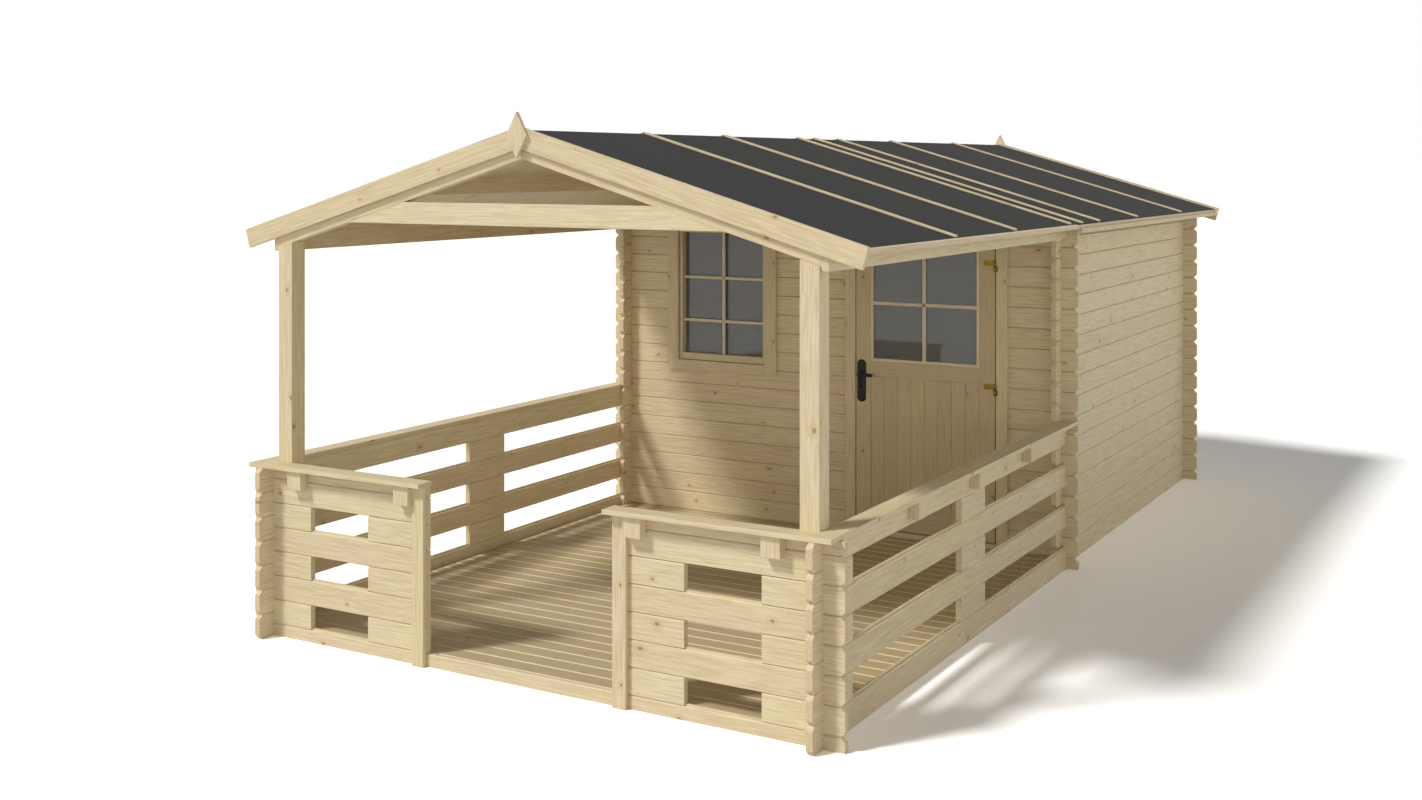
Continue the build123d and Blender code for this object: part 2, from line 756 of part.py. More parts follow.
# Lever handles: one on each face, joined by the spindle through the leaf
spindle_half = leaf_thickness / 2 + plate_thickness + lever_standoff + lever_bar_thickness
with BuildPart() as door_lever:
    with Locations(Plane((lever_x, leaf_mid_y, lever_z), z_dir=(0, 1, 0))):
        Cylinder(lever_radius, 2 * spindle_half)
    grip_reach = spindle_half - lever_bar_thickness / 2
    grip_x = lever_x + (lever_length - lever_bar_height / 2) / 2
    grip_length = lever_length + lever_bar_height / 2
    with Locations((grip_x, leaf_mid_y - grip_reach, lever_z), (grip_x, leaf_mid_y + grip_reach, lever_z)):
        Box(grip_length, lever_bar_thickness, lever_bar_height)
finish(door_lever, "door_lever")

# Window: frame with its outside trim, sash with its glazing bars, and pane
trim_outer_width = sash_width + 2 * window_trim_width
trim_outer_height = sash_height + window_trim_width + window_sill_trim
trim_mid_z = window_mid_z + (window_trim_width - window_sill_trim) / 2
with BuildPart() as window_frame:
    with Locations((window_middle, porch_back_y + window_frame_depth / 2, window_mid_z)):
        Box(window_frame_width, window_frame_depth, window_frame_height)
    with Locations((window_middle, porch_back_y - window_trim_thickness / 2, trim_mid_z)):
        Box(trim_outer_width, window_trim_thickness, trim_outer_height)
    with Locations((window_middle, porch_back_y, window_mid_z)):
        Box(sash_width, 2 * window_frame_depth + overrun, sash_height, mode=Mode.SUBTRACT)
finish(window_frame, "window_frame")
sash_front_y = porch_back_y - sash_proud
sash_mid_y = sash_front_y + sash_thickness / 2
pane_mid_z = window_mid_z + (sash_bottom_rail - sash_top_rail) / 2
pane_low = pane_mid_z - pane_height / 2
bar_y = sash_front_y + window_bar_setback + window_bar_depth / 2
with BuildPart() as window_sash:
    with Locations((window_middle, sash_mid_y, window_mid_z)):
        Box(sash_width, sash_thickness, sash_height)
    with Locations((window_middle, sash_mid_y, pane_mid_z)):
        Box(pane_width, sash_thickness + overrun, pane_height, mode=Mode.SUBTRACT)
    with Locations((window_middle, bar_y, pane_mid_z)):
        Box(bar_width, window_bar_depth, pane_height)
    for share in window_bar_shares:
        with Locations((window_middle, bar_y, pane_low + share * pane_height)):
            Box(pane_width, window_bar_depth, bar_width)
finish(window_sash, "window_sash")
with BuildPart() as window_glass:
    with Locations((window_middle, sash_front_y + pane_setback + pane_thickness / 2, pane_mid_z)):
        Box(pane_width, pane_thickness, pane_height)
finish(window_glass, "window_glass")
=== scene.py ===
# %% [markdown]
# A log cabin with a covered porch, dressed for its portrait. The solids of the building come from
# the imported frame, already in metres and in place, so this lesson only has to give them the look
# of planed spruce, felt, glass and brass, and to add the joinery that is too fine for the solids.

# %% Load the frame
import json
import math

import bpy
import numpy as np
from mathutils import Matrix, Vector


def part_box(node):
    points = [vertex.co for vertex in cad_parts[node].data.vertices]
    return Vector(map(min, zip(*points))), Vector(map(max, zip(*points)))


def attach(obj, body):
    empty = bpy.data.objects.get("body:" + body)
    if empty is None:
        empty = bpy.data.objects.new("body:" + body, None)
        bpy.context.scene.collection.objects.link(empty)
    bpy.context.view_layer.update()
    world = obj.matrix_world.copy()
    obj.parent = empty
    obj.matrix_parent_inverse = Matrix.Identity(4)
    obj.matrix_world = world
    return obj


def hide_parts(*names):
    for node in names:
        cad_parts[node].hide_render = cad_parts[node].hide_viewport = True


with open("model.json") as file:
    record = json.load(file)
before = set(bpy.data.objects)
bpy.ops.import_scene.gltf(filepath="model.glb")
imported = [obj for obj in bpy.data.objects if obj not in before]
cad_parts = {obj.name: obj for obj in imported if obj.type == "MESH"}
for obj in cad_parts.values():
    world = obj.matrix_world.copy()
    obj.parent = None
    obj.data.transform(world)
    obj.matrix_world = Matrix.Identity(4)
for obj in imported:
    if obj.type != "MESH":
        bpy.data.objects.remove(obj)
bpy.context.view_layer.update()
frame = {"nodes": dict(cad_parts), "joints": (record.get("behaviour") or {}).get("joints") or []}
nodes = frame["nodes"]
MM = 0.001

# %% [markdown]
# Some sizes are read back from the frame, so that the pieces added here fit it without any guess.
# The height of one log is the height of the railing shared by its seven courses. The pitch of the
# roof and the thickness of its boards are written out, because the box round a sloping board
# doesn't show them.

# %% Sizes read from the frame
RAIL_COURSES = 7
rail_low, rail_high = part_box("side_rails")
LOG = (rail_high.z - rail_low.z) / RAIL_COURSES
BOARD_THICKNESS = 19 * MM
PITCH = math.radians(16.2)
plumb_board = BOARD_THICKNESS / math.cos(PITCH)
print(f"log {LOG * 1000:.1f} mm, roof pitch {math.degrees(PITCH):.1f} degrees")

# %% [markdown]
# Colours are written as sRGB hex values, the way a paint card or a picture gives them. The shaders
# work with linear light, so one function does the conversion for every colour in the file. One
# more small function adds a node, sets its properties and feeds its inputs. The same feeding gives
# each shader its colour, gloss and relief.

# %% Colour and node helpers
def linear(code):
    """sRGB hex to linear RGBA: each channel through the sRGB curve, alpha one."""
    channels = np.array([int(code[i:i + 2], 16) for i in (1, 3, 5)]) / 255
    low = channels / 12.92
    high = ((channels + 0.055) / 1.055) ** 2.4
    return (*np.where(channels <= 0.04045, low, high).tolist(), 1.0)


def feed(tree, node, feeds):
    """Feeds a node's inputs: a socket is linked, and a value is set on the input itself."""
    for key, value in feeds.items():
        if isinstance(value, bpy.types.NodeSocket):
            tree.links.new(value, node.inputs[key])
        else:
            node.inputs[key].default_value = value


def add(tree, kind, feeds, **settings):
    """Adds one node: settings are its properties, feeds its inputs, as values or as sockets to link."""
    node = tree.nodes.new("ShaderNode" + kind)
    for key, value in settings.items():
        setattr(node, key, value)
    feed(tree, node, feeds)
    return node


def new_material(name):
    """An empty node material with its principled shader."""
    material = bpy.data.materials.new(name)
    material.use_nodes = True
    tree = material.node_tree
    return material, tree, tree.nodes["Principled BSDF"]


print("spruce in the sun, linear:", np.round(linear("#dbc8a0"), 3))

# %% [markdown]
# Planed spruce is the whole building. What the eye sees is pale wood whose growth rings run as
# soft lines along each log, a finer fibre between them, small brown knots with the lines bending
# round them, and every log a little paler, yellower or pinker than its neighbour. A photograph of
# wood could be laid on it, but a pattern worked out from the place on the object has no seams and
# fits every log. First, the place over the course height gives the number of the log or board. It
# picks a random tint and moves the pattern, so that no line runs on from one log into the next.

# %% Spruce: the log and the way it faces
GRAIN_ORDER = {"X": (0, 1, 2), "Y": (1, 0, 2), "Z": (2, 0, 1)}
TILTED = 0.2


def log_place(tree, grain, cell, shift, slope):
    """The log's number is the place, moved by shift, over cell, rounded down. cell is the size of one log
    or board along each axis, 0 where it isn't divided. On a roof slope, the place is mirrored and
    turned by the pitch. Gives three random numbers for the log, the place and the normal's size along,
    beside and above the grain, and whether the face looks up or down."""
    coords = add(tree, "TexCoord", {})
    place, facing = coords.outputs["Object"], coords.outputs["Normal"]
    rates = tuple(1 / size if size else 0 for size in cell)
    starts = tuple(offset * rate for offset, rate in zip(shift, rates))
    count = add(tree, "VectorMath", {0: place, 1: rates, 2: starts}, operation="MULTIPLY_ADD")
    number = add(tree, "VectorMath", {0: count.outputs[0]}, operation="FLOOR")
    dice = add(tree, "TexWhiteNoise", {"Vector": number.outputs[0]}, noise_dimensions="3D")
    luck = add(tree, "SeparateXYZ", {0: dice.outputs["Color"]})
    tilt = add(tree, "SeparateXYZ", {0: facing})
    upward = add(tree, "Math", {0: tilt.outputs[2], 1: TILTED}, operation="GREATER_THAN")
    downward = add(tree, "Math", {0: tilt.outputs[2], 1: -TILTED}, operation="LESS_THAN")
    facing = add(tree, "VectorMath", {0: facing}, operation="ABSOLUTE").outputs[0]
    if slope:
        turn = (0, -slope, 0)
        mirrored = add(tree, "VectorMath", {0: place}, operation="ABSOLUTE")
        place = add(tree, "Mapping", {"Vector": mirrored.outputs[0], "Rotation": turn}).outputs[0]
        facing = add(tree, "Mapping", {"Vector": facing, "Rotation": turn}).outputs[0]
        facing = add(tree, "VectorMath", {0: facing}, operation="ABSOLUTE").outputs[0]
    axes = add(tree, "SeparateXYZ", {0: place})
    sides = add(tree, "SeparateXYZ", {0: facing})
    order = GRAIN_ORDER[grain]
    return (luck.outputs, [axes.outputs[i] for i in order], [sides.outputs[i] for i in order],
            upward.outputs[0], downward.outputs[0])


print("axes along, beside and above the grain:", GRAIN_ORDER)

# %% [markdown]
# A knot is the root of a branch. Each stretch of each log has one chance of a knot, so the knots are
# drawn round the points of a Voronoi scatter, one in each cell, as ovals with a wide, faint halo.

# %% Spruce: knots
KNOT_SPACING = 480 * MM
KNOT_RADII = (5 * MM, 11 * MM)
KNOT_CHANCE = 0.45
KNOT_SCATTER = 0.85
KNOT_SHIFT = 17.0
KNOT_SQUEEZE = 0.7
CORE_SHARE, HALO_SHARE = 0.35, 3.2
LEVEL_FACE = 0.7


def knots(tree, luck, place, sides):
    """Ovals round scattered points: the distance to the nearest one is scaled to metres, and fades from
    the knot's radius, or the halo's, in to its core. Gives the knot and the halo, each from 0 to 1."""
    along, side, up = place
    on_top = add(tree, "Math", {0: sides[2], 1: LEVEL_FACE}, operation="GREATER_THAN")
    across = add(tree, "Mix", {0: on_top.outputs[0], 2: up, 3: side}, data_type="FLOAT")
    knot_along = add(tree, "Math", {0: luck[0], 1: KNOT_SHIFT, 2: along}, operation="MULTIPLY_ADD")
    knot_across = add(tree, "Math", {0: across.outputs[0], 1: LOG / 2}, operation="ADD")
    spot = add(tree, "CombineXYZ", {0: knot_along.outputs[0], 1: knot_across.outputs[0]})
    rates = (1 / KNOT_SPACING, 1 / LOG, 0)
    grid = add(tree, "VectorMath", {0: spot.outputs[0], 1: rates}, operation="MULTIPLY")
    cells = add(tree, "TexVoronoi", {"Vector": grid.outputs[0], "Scale": 1.0, "Randomness": KNOT_SCATTER},
                voronoi_dimensions="2D")
    apart = add(tree, "VectorMath", {0: grid.outputs[0], 1: cells.outputs["Position"]}, operation="SUBTRACT")
    metres = (KNOT_SQUEEZE * KNOT_SPACING, LOG, 0)
    oval = add(tree, "VectorMath", {0: apart.outputs[0], 1: metres}, operation="MULTIPLY")
    reach = add(tree, "VectorMath", {0: oval.outputs[0]}, operation="LENGTH").outputs["Value"]
    chance = add(tree, "SeparateXYZ", {0: cells.outputs["Color"]})
    drawn = add(tree, "Math", {0: chance.outputs[0], 1: KNOT_CHANCE}, operation="LESS_THAN")
    girth = add(tree, "MapRange", {"Value": chance.outputs[1], "To Min": KNOT_RADII[0],
                                   "To Max": KNOT_RADII[1]})
    size = add(tree, "Math", {0: drawn.outputs[0], 1: girth.outputs[0]}, operation="MULTIPLY")
    core = add(tree, "Math", {0: size.outputs[0], 1: CORE_SHARE}, operation="MULTIPLY")
    wide = add(tree, "Math", {0: size.outputs[0], 1: HALO_SHARE}, operation="MULTIPLY")
    return [add(tree, "MapRange", {"Value": reach, "From Min": edge.outputs[0], "From Max": core.outputs[0]},
                interpolation_type="SMOOTHSTEP").outputs[0] for edge in (size, wide)]


print("knot radii:", KNOT_RADII, "m, chance in each stretch:", KNOT_CHANCE)

# %% [markdown]
# Growth rings on a sawn face are the contour lines of a slow field that is stretched along the
# grain. They bend round the knots, and late wood is the darker half of each ring. Between them run
# the fibres. Real fibres are finer than a tenth of a millimetre: they are drawn here as streaks of
# 6 mm, as coarse as they need to be to show in the render.

# %% Spruce: rings and fibres
RING_FIELD = 95 * MM
RING_LENGTH = 2200 * MM
RING_COUNT = 22.0
RING_BEND = 0.14
LATE_START = -0.4
FIBRE_WIDTH = 6 * MM
FIBRE_LENGTH = 150 * MM
LOG_SHIFT = (9, 0.9, 0.9)


def rings_and_fibres(tree, luck, place, halo):
    """Rings are the sine of a noise field times its number of turns, and fibres a finer noise. Both read
    the place moved by the log's random numbers. Gives the late wood and the fibres, each from 0 to 1."""
    wander = add(tree, "CombineXYZ", {i: luck[i] for i in range(3)})
    wood = add(tree, "CombineXYZ", {i: place[i] for i in range(3)})
    moved = add(tree, "VectorMath", {0: wander.outputs[0], 1: LOG_SHIFT, 2: wood.outputs[0]},
                operation="MULTIPLY_ADD")
    slow, fine = (add(tree, "VectorMath", {0: moved.outputs[0], 1: (1 / length, 1 / width, 1 / width)},
                      operation="MULTIPLY").outputs[0]
                  for length, width in ((RING_LENGTH, RING_FIELD), (FIBRE_LENGTH, FIBRE_WIDTH)))
    field = add(tree, "TexNoise", {"Vector": slow, "Scale": 1.0, "Detail": 1.0, "Roughness": 0.4})
    fibre = add(tree, "TexNoise", {"Vector": fine, "Scale": 1.0, "Detail": 3.0, "Roughness": 0.6})
    bent = add(tree, "Math", {0: halo, 1: RING_BEND, 2: field.outputs[0]}, operation="MULTIPLY_ADD")
    turns = add(tree, "Math", {0: bent.outputs[0], 1: RING_COUNT * math.tau}, operation="MULTIPLY")
    wave = add(tree, "Math", {0: turns.outputs[0]}, operation="SINE")
    rings = add(tree, "MapRange", {"Value": wave.outputs[0], "From Min": LATE_START, "From Max": 1.0},
                interpolation_type="SMOOTHSTEP")
    return rings.outputs[0], fibre.outputs[0]


print("fibre streaks:", FIBRE_WIDTH, "by", FIBRE_LENGTH, "m")

# %% [markdown]
# The colour is built up as the wood itself was: the log's own tint, darker late wood and fibres,
# resin and brown knots, and end grain browner. Over these comes painted light: upper bevels are
# painted paler, a painted highlight where the sun catches them, and lower bevels darker, painted
# shade under each arris. Each is one more coat, mixed over the last by its own share, so that each
# can be tuned alone.
# Each is one more coat, mixed over the last by its own share, so that each can be tuned alone.

# %% Spruce, planed
SPRUCE_TONE = ("#e9dcb8", "#e5d6aa", "#e4d1af")
LATE_SHARE, RESIN_SHARE, KNOT_SHARE = 0.15, 0.3, 0.7
FIBRE_RANGE = {"From Min": 0.42, "From Max": 0.75, "To Max": 0.5}
BEVEL_RANGE = {"From Min": 0.3, "From Max": 0.5}
END_RANGE = {"From Min": 0.8, "From Max": 0.9, "To Max": 0.14}
PLANED_ROUGHNESS = {"To Min": 0.62, "To Max": 0.5}
FIBRE_RELIEF = 0.6
RELIEF_DEPTH = 0.4 * MM


def spruce(name, grain, cell, shift=(0, 0, 0), slope=0.0, tone=SPRUCE_TONE, bevel_highlight=0.1, arris_shade=0.0):
    """Planed spruce. grain is the axis of the fibres, cell and shift tell the logs apart, tone holds the
    tints of the boards, and the last two arguments say how far upper bevels are painted paler than the
    faces, a painted highlight, and how far lower bevels are painted darker, painted shade."""
    material, tree, shader = new_material(name)
    luck, place, sides, upward, downward = log_place(tree, grain, cell, shift, slope)
    knot, halo = knots(tree, luck, place, sides)
    rings, fibre = rings_and_fibres(tree, luck, place, halo)
    late = add(tree, "Math", {0: rings, 1: LATE_SHARE}, operation="MULTIPLY")
    thread = add(tree, "MapRange", {"Value": fibre, **FIBRE_RANGE})
    resin = add(tree, "Math", {0: halo, 1: RESIN_SHARE}, operation="MULTIPLY")
    dark = add(tree, "Math", {0: knot, 1: KNOT_SHARE}, operation="MULTIPLY")
    slant = add(tree, "Math", {0: sides[1], 1: sides[2]}, operation="MULTIPLY")
    # Painted highlight: bevels that face upward are painted paler, where the sun would catch them.
    upper = add(tree, "Math", {0: slant.outputs[0], 1: upward}, operation="MULTIPLY")
    highlight_coat = add(tree, "MapRange", {"Value": upper.outputs[0], **BEVEL_RANGE, "To Max": bevel_highlight})
    # Painted shade: bevels that face downward are painted darker, as the shade under each arris.
    lower = add(tree, "Math", {0: slant.outputs[0], 1: downward}, operation="MULTIPLY")
    under_shade_coat = add(tree, "MapRange", {"Value": lower.outputs[0], **BEVEL_RANGE, "To Max": arris_shade})
    cut_end = add(tree, "MapRange", {"Value": sides[0], **END_RANGE})
    coats = [(luck[1], tone[1]), (luck[2], tone[2])]
    # The pale #f4ead0 is a painted highlight on upper bevels, the dark #7d6038 painted shade under lower
    # ones.
    coats += [(node.outputs[0], code) for node, code in (
        (late, "#b99b63"), (thread, "#b29a68"), (resin, "#c09255"), (dark, "#94683c"),
        (highlight_coat, "#f4ead0"), (under_shade_coat, "#7d6038"), (cut_end, "#b58c58"))]
    colour = linear(tone[0])
    for share, code in coats:
        colour = add(tree, "Mix", {0: share, 6: colour, 7: linear(code)}, data_type="RGBA").outputs[2]
    rough = add(tree, "MapRange", {"Value": rings, **PLANED_ROUGHNESS})
    relief = add(tree, "Math", {0: fibre, 1: FIBRE_RELIEF, 2: rings}, operation="MULTIPLY_ADD")
    bump = add(tree, "Bump", {"Height": relief.outputs[0], "Strength": 0.35, "Distance": RELIEF_DEPTH})
    feed(tree, shader, {"Base Color": colour, "Roughness": rough.outputs[0], "Normal": bump.outputs[0],
                        "IOR": 1.45, "Specular IOR Level": 0.3})
    return material


# Cells and shifts in metres: each is large enough to hold one log, post or board of its kind
HALF = 4.0
# The logs' lower bevels take painted shade, and the logs across a stronger painted highlight on their upper
# ones.
CROSS_LOG = spruce("spruce_logs_across", "X", (0, 0, LOG), (0, 0, LOG / 2), bevel_highlight=0.2, arris_shade=0.7)
ALONG_LOG = spruce("spruce_logs_along", "Y", (HALF, 0, LOG), (HALF, 0, 0), arris_shade=0.7)
UPRIGHT = spruce("spruce_uprights", "Z", (0.4, 1.5, 0), (0.2, 0.4, 0))
CROSS_BOARD = spruce("spruce_boards_across", "X", (1.6, 0.6, 0.6), (1.6, 0, 0))
ALONG_BOARD = spruce("spruce_boards_along", "Y", (0.42, 2.9, 0), (0.2, 0.2, 0))
SLOPE_BOARD = spruce("spruce_boards_on_the_slope", "X", (1.7, 0.2, 0), (1.7, 0.1, 0), slope=PITCH)
print("spruce materials:", [m.name for m in bpy.data.materials if m.name.startswith("spruce")])

# %% [markdown]
# Each solid of the frame that already has the right shape stays, and only takes its finish. The
# logs of the front, back and porch front run across, those of the side walls and rails run along.

# %% Spruce on the solids
def dress(names, material):
    """Gives solids of the frame their finish in place of the plain one."""
    for name in names:
        nodes[name].data.materials.clear()
        nodes[name].data.materials.append(material)


finishes = (
    (CROSS_LOG, ("bottom_half_logs", "front_wall_left", "front_wall_right", "front_gable", "back_wall",
                 "front_panel_left", "front_panel_right")),
    (ALONG_LOG, ("left_wall", "right_wall", "side_rails", "rail_spacers")),
    (ALONG_BOARD, ("roof_purlins", "floor_joists", "eave_beams", "eave_strips", "side_caps")),
    (CROSS_BOARD, ("front_caps", "tie_beam", "door_head", "door_threshold")),
    (UPRIGHT, ("entrance_trims", "cap_brackets", "porch_posts", "finials", "door_jambs")),
    (SLOPE_BOARD, ("front_rafter_left", "front_rafter_right", "roof_battens", "barge_boards_left",
                   "barge_boards_right")),
)
for material, names in finishes:
    dress(names, material)
print("solids in spruce:", sum(len(names) for _, names in finishes))

# %% [markdown]
# Sawn and planed boards never have knife-sharp arrises. Welding the loose triangles of a solid,
# joining the flat ones and bevelling the edges that are left gives each board a soft edge that
# catches the light. The logs have their bevels in the solids already.

# %% Soft arrises
ARRIS = {
    "porch_posts": 3.0, "entrance_trims": 2.5, "front_caps": 2.5, "side_caps": 2.5, "cap_brackets": 2.5,
    "tie_beam": 3.0, "eave_beams": 2.5, "eave_strips": 1.5, "roof_battens": 1.5,
    "barge_boards_left": 2.0, "barge_boards_right": 2.0, "door_jambs": 2.0, "door_head": 2.0,
    "door_threshold": 3.0, "front_rafter_left": 2.0, "front_rafter_right": 2.0,
}
WELD_DISTANCE = 0.05 * MM
FLAT_ANGLE, EDGE_ANGLE = math.radians(1), math.radians(25)
for name, width in ARRIS.items():
    weld = nodes[name].modifiers.new("weld", "WELD")
    weld.merge_threshold = WELD_DISTANCE
    flat = nodes[name].modifiers.new("flat", "DECIMATE")
    flat.decimate_type = "DISSOLVE"
    flat.angle_limit = FLAT_ANGLE
    soft = nodes[name].modifiers.new("arris", "BEVEL")
    soft.width = width * MM
    soft.segments = 2
    soft.limit_method = "ANGLE"
    soft.angle_limit = EDGE_ANGLE
    even = nodes[name].modifiers.new("even", "WEIGHTED_NORMAL")
    even.weight = 100
print("softened:", len(ARRIS))

# %% [markdown]
# The boards of the floors, the roof and the joinery are prisms: an outline, which is a rectangle
# with its edges bevelled, carried in a straight line from one end to the other. All the boards of
# one piece are worked out together as arrays, one row for each board.

# %% Boards as prisms
def board_outline(width, thickness, top_bevel, low_bevel):
    """Rectangle of width by thickness about its middle, counter-clockwise, with its corners cut."""
    a, b = width / 2, thickness / 2
    t, s = top_bevel, low_bevel
    return np.array([(-a + s, -b), (a - s, -b), (a, -b + s), (a, b - t), (a - t, b), (-a + t, b), (-a, b - t),
                     (-a, -b + s)])


def shape_of(points, *grids):
    """A mesh as arrays: its points, the corners of all its faces in one row, and each face's number of
    corners. Every grid has one row of point numbers for each of its faces."""
    corners = np.concatenate([grid.ravel() for grid in grids])
    sides = np.concatenate([np.full(len(grid), grid.shape[1]) for grid in grids])
    return points.reshape(-1, 3), corners, sides


def strips(first, after, count):
    """Faces between closed rows of count points: a point, its neighbour and the same two on the row after.
    first and after are the numbers of the rows' first points."""
    k = np.arange(count)
    step = np.roll(k, -1)
    return np.stack([first + k, first + step, after + step, after + k], -1).reshape(-1, 4)


def prisms(outline, starts, ends, u, v):
    """Closed prisms: each point of the outline is start or end + x * u + y * v, and ends - starts runs
    along u x v, so that the sides and both end faces point outwards."""
    count, points = len(starts), len(outline)
    spread = outline @ np.array([u, v], float)
    rings = np.stack([starts, ends], 1)[:, :, None, :] + spread[None, None]
    base = (np.arange(count) * 2 * points)[:, None]
    k = np.arange(points)
    return shape_of(rings, strips(base, base + points, points), base + k[::-1], base + points + k)


def joined(parts):
    """Several shapes as one, the corners of each counted on from the points before it."""
    points, corners, sides = zip(*parts)
    starts = np.cumsum([0] + [len(each) for each in points[:-1]])
    counted = [each + start for each, start in zip(corners, starts)]
    return np.concatenate(points), np.concatenate(counted), np.concatenate(sides)


def placed(name, data):
    """A new object at the origin of the scene."""
    obj = bpy.data.objects.new(name, data)
    bpy.context.scene.collection.objects.link(obj)
    return obj


def piece(name, shape, material, body="cabin", stands_for=(), smooth=False):
    """An object with its place in its mesh, riding on a body of the frame."""
    points, corners, sides = shape
    mesh = bpy.data.meshes.new(name)
    mesh.vertices.add(len(points))
    mesh.vertices.foreach_set("co", points.ravel())
    mesh.loops.add(len(corners))
    mesh.loops.foreach_set("vertex_index", corners)
    mesh.polygons.add(len(sides))
    mesh.polygons.foreach_set("loop_start", np.cumsum(sides) - sides)
    mesh.polygons.foreach_set("use_smooth", np.full(len(sides), smooth))
    mesh.update(calc_edges=True)
    mesh.materials.append(material)
    obj = placed(name, mesh)
    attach(obj, body)
    if stands_for:
        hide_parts(*stands_for)


X_AXIS, Y_AXIS, Z_AXIS = np.eye(3)
print("outline points of a board:", len(board_outline(95 * MM, 19 * MM, 4 * MM, MM)))

# %% [markdown]
# The deck is laid with matched boards across the porch, their upper edges bevelled so that each
# joint is a small groove. In the picture their edges catch the light as thin bright lines about a
# hand apart. The grooves could be bump in a material, but real bevels catch the light from every
# side. The upper bevels are also painted paler, a painted highlight that makes those lines brighter.
# Boards that meet a post stop at it.

# %% Deck and floor boards
BOARD_PITCH = 96 * MM
JOINT = 1.2 * MM
DECK_BEVEL, UNDER_BEVEL = 6 * MM, 1 * MM
DECK_TONE = ("#c8ba97", "#c3b28a", "#c1ae8e")


def laid_out(low, high):
    """A whole number of boards at about BOARD_PITCH along Y: their number, pitch and middles."""
    number = round((high[1] - low[1]) / BOARD_PITCH)
    pitch = (high[1] - low[1]) / number
    return number, pitch, low[1] + (np.arange(number) + 0.5) * pitch


def floor_boards(node, keep_clear=None):
    """Boards along X over a floor node. keep_clear is the X at which boards end that start before its Y.
    Gives the shape and the boards' pitch."""
    low, high = np.array(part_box(node))
    number, pitch, middles = laid_out(low, high)
    outline = board_outline(pitch - JOINT, high[2] - low[2], DECK_BEVEL, UNDER_BEVEL)
    reach = np.full(number, high[0])
    if keep_clear:
        reach = np.where(middles - pitch / 2 < keep_clear[1], keep_clear[0], reach)
    level = np.full(number, (low[2] + high[2]) / 2)
    starts = np.stack([-reach, middles, level], 1)
    ends = np.stack([reach, middles, level], 1)
    return prisms(outline, starts, ends, Y_AXIS, Z_AXIS), pitch


post_low, post_high = np.array(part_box("porch_posts"))
post_size = post_high[1] - post_low[1]
post_inner = post_high[0] - post_size
deck_shape, deck_pitch = floor_boards("porch_floor", (post_inner - MM, post_high[1]))
deck_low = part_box("porch_floor")[0]
# The deck's upper bevels take a strong painted highlight.
DECK = spruce("spruce_deck_boards", "X", (0, deck_pitch, 0), (0, -deck_low.y, 0), tone=DECK_TONE, bevel_highlight=0.6)
piece("deck_boards", deck_shape, DECK, stands_for=("porch_floor",))
floor_shape, floor_pitch = floor_boards("cabin_floor")
cabin_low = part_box("cabin_floor")[0]
FLOOR = spruce("spruce_floor_boards", "X", (0, floor_pitch, 0), (0, -cabin_low.y, 0))
piece("floor_boards", floor_shape, FLOOR, stands_for=("cabin_floor",))
print(f"deck boards {deck_pitch * 1000:.1f} mm apart, floor boards {floor_pitch * 1000:.1f} mm")

# %% [markdown]
# The roof is boarded from the ridge to the eaves, over the purlins, and its underside shows from
# the porch and the room. Boards could be laid flat and then turned, but their ends would need a cut.
# Each is a prism whose thickness is measured plumb instead, so that its two ends come out plumb as
# well: mitred at the ridge and flush behind the eave strip.

# %% Roof boards
ROOF_TOP_BEVEL, ROOF_UNDER_BEVEL = 0.5 * MM, 4 * MM


def roof_boards(side):
    """Boards down one slope: the outline lies across Y and plumb, its bevels on the underside. Gives the
    shape and the boards' pitch."""
    low, high = np.array(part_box(f"roof_boards_{side}"))
    number, pitch, middles = laid_out(low, high)
    sign = 1 if side == "right" else -1
    outline = board_outline(pitch - JOINT, BOARD_THICKNESS, ROOF_TOP_BEVEL, ROOF_UNDER_BEVEL)
    nothing = np.zeros(number)
    eave = sign * max(abs(low[0]), abs(high[0]))
    starts = np.stack([nothing, middles, nothing + high[2] - plumb_board / 2], 1)
    ends = np.stack([nothing + eave, middles, nothing + low[2] + plumb_board / 2], 1)
    return prisms(outline, starts, ends, sign * Y_AXIS, Z_AXIS / math.cos(PITCH)), pitch


slopes = {side: roof_boards(side) for side in ("left", "right")}
roof_pitch = slopes["left"][1]
boards_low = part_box("roof_boards_right")[0]
ROOF_BOARD = spruce("spruce_roof_boards", "X", (HALF, roof_pitch, 0), (HALF, -boards_low.y, 0), slope=PITCH)
for side, (shape, _) in slopes.items():
    piece(f"roof_boarding_{side}", shape, ROOF_BOARD, stands_for=(f"roof_boards_{side}",))
print(f"roof boards at {roof_pitch * 1000:.1f} mm")

# %% [markdown]
# Roofing felt is bitumen faced with crushed slate: nearly black, without gloss, and speckled. The
# real grains are about a millimetre; they are drawn five times as coarse here, because finer ones
# would not show from where the camera stands. A slow unevenness stands for the lie of the sheet.

# %% Mineral felt
FELT_GRAIN = 5 * MM
PATCHES_TO_A_METRE = 2.2
FELT_RANGE = {"From Min": 0.35, "From Max": 0.7}
PATCH_SHARE = 0.25
felt, felt_tree, felt_shader = new_material("mineral_felt")
felt_place = add(felt_tree, "TexCoord", {}).outputs["Object"]
grit = add(felt_tree, "TexNoise", {"Vector": felt_place, "Scale": 1 / FELT_GRAIN, "Detail": 2.0,
                                   "Roughness": 0.7})
cloud = add(felt_tree, "TexNoise", {"Vector": felt_place, "Scale": PATCHES_TO_A_METRE, "Detail": 3.0})
speck = add(felt_tree, "MapRange", {"Value": grit.outputs[0], **FELT_RANGE})
grains = add(felt_tree, "Mix", {0: speck.outputs[0], 6: linear("#222222"), 7: linear("#3b3a39")},
             data_type="RGBA")
veil = add(felt_tree, "MapRange", {"Value": cloud.outputs[0], **FELT_RANGE, "To Max": PATCH_SHARE})
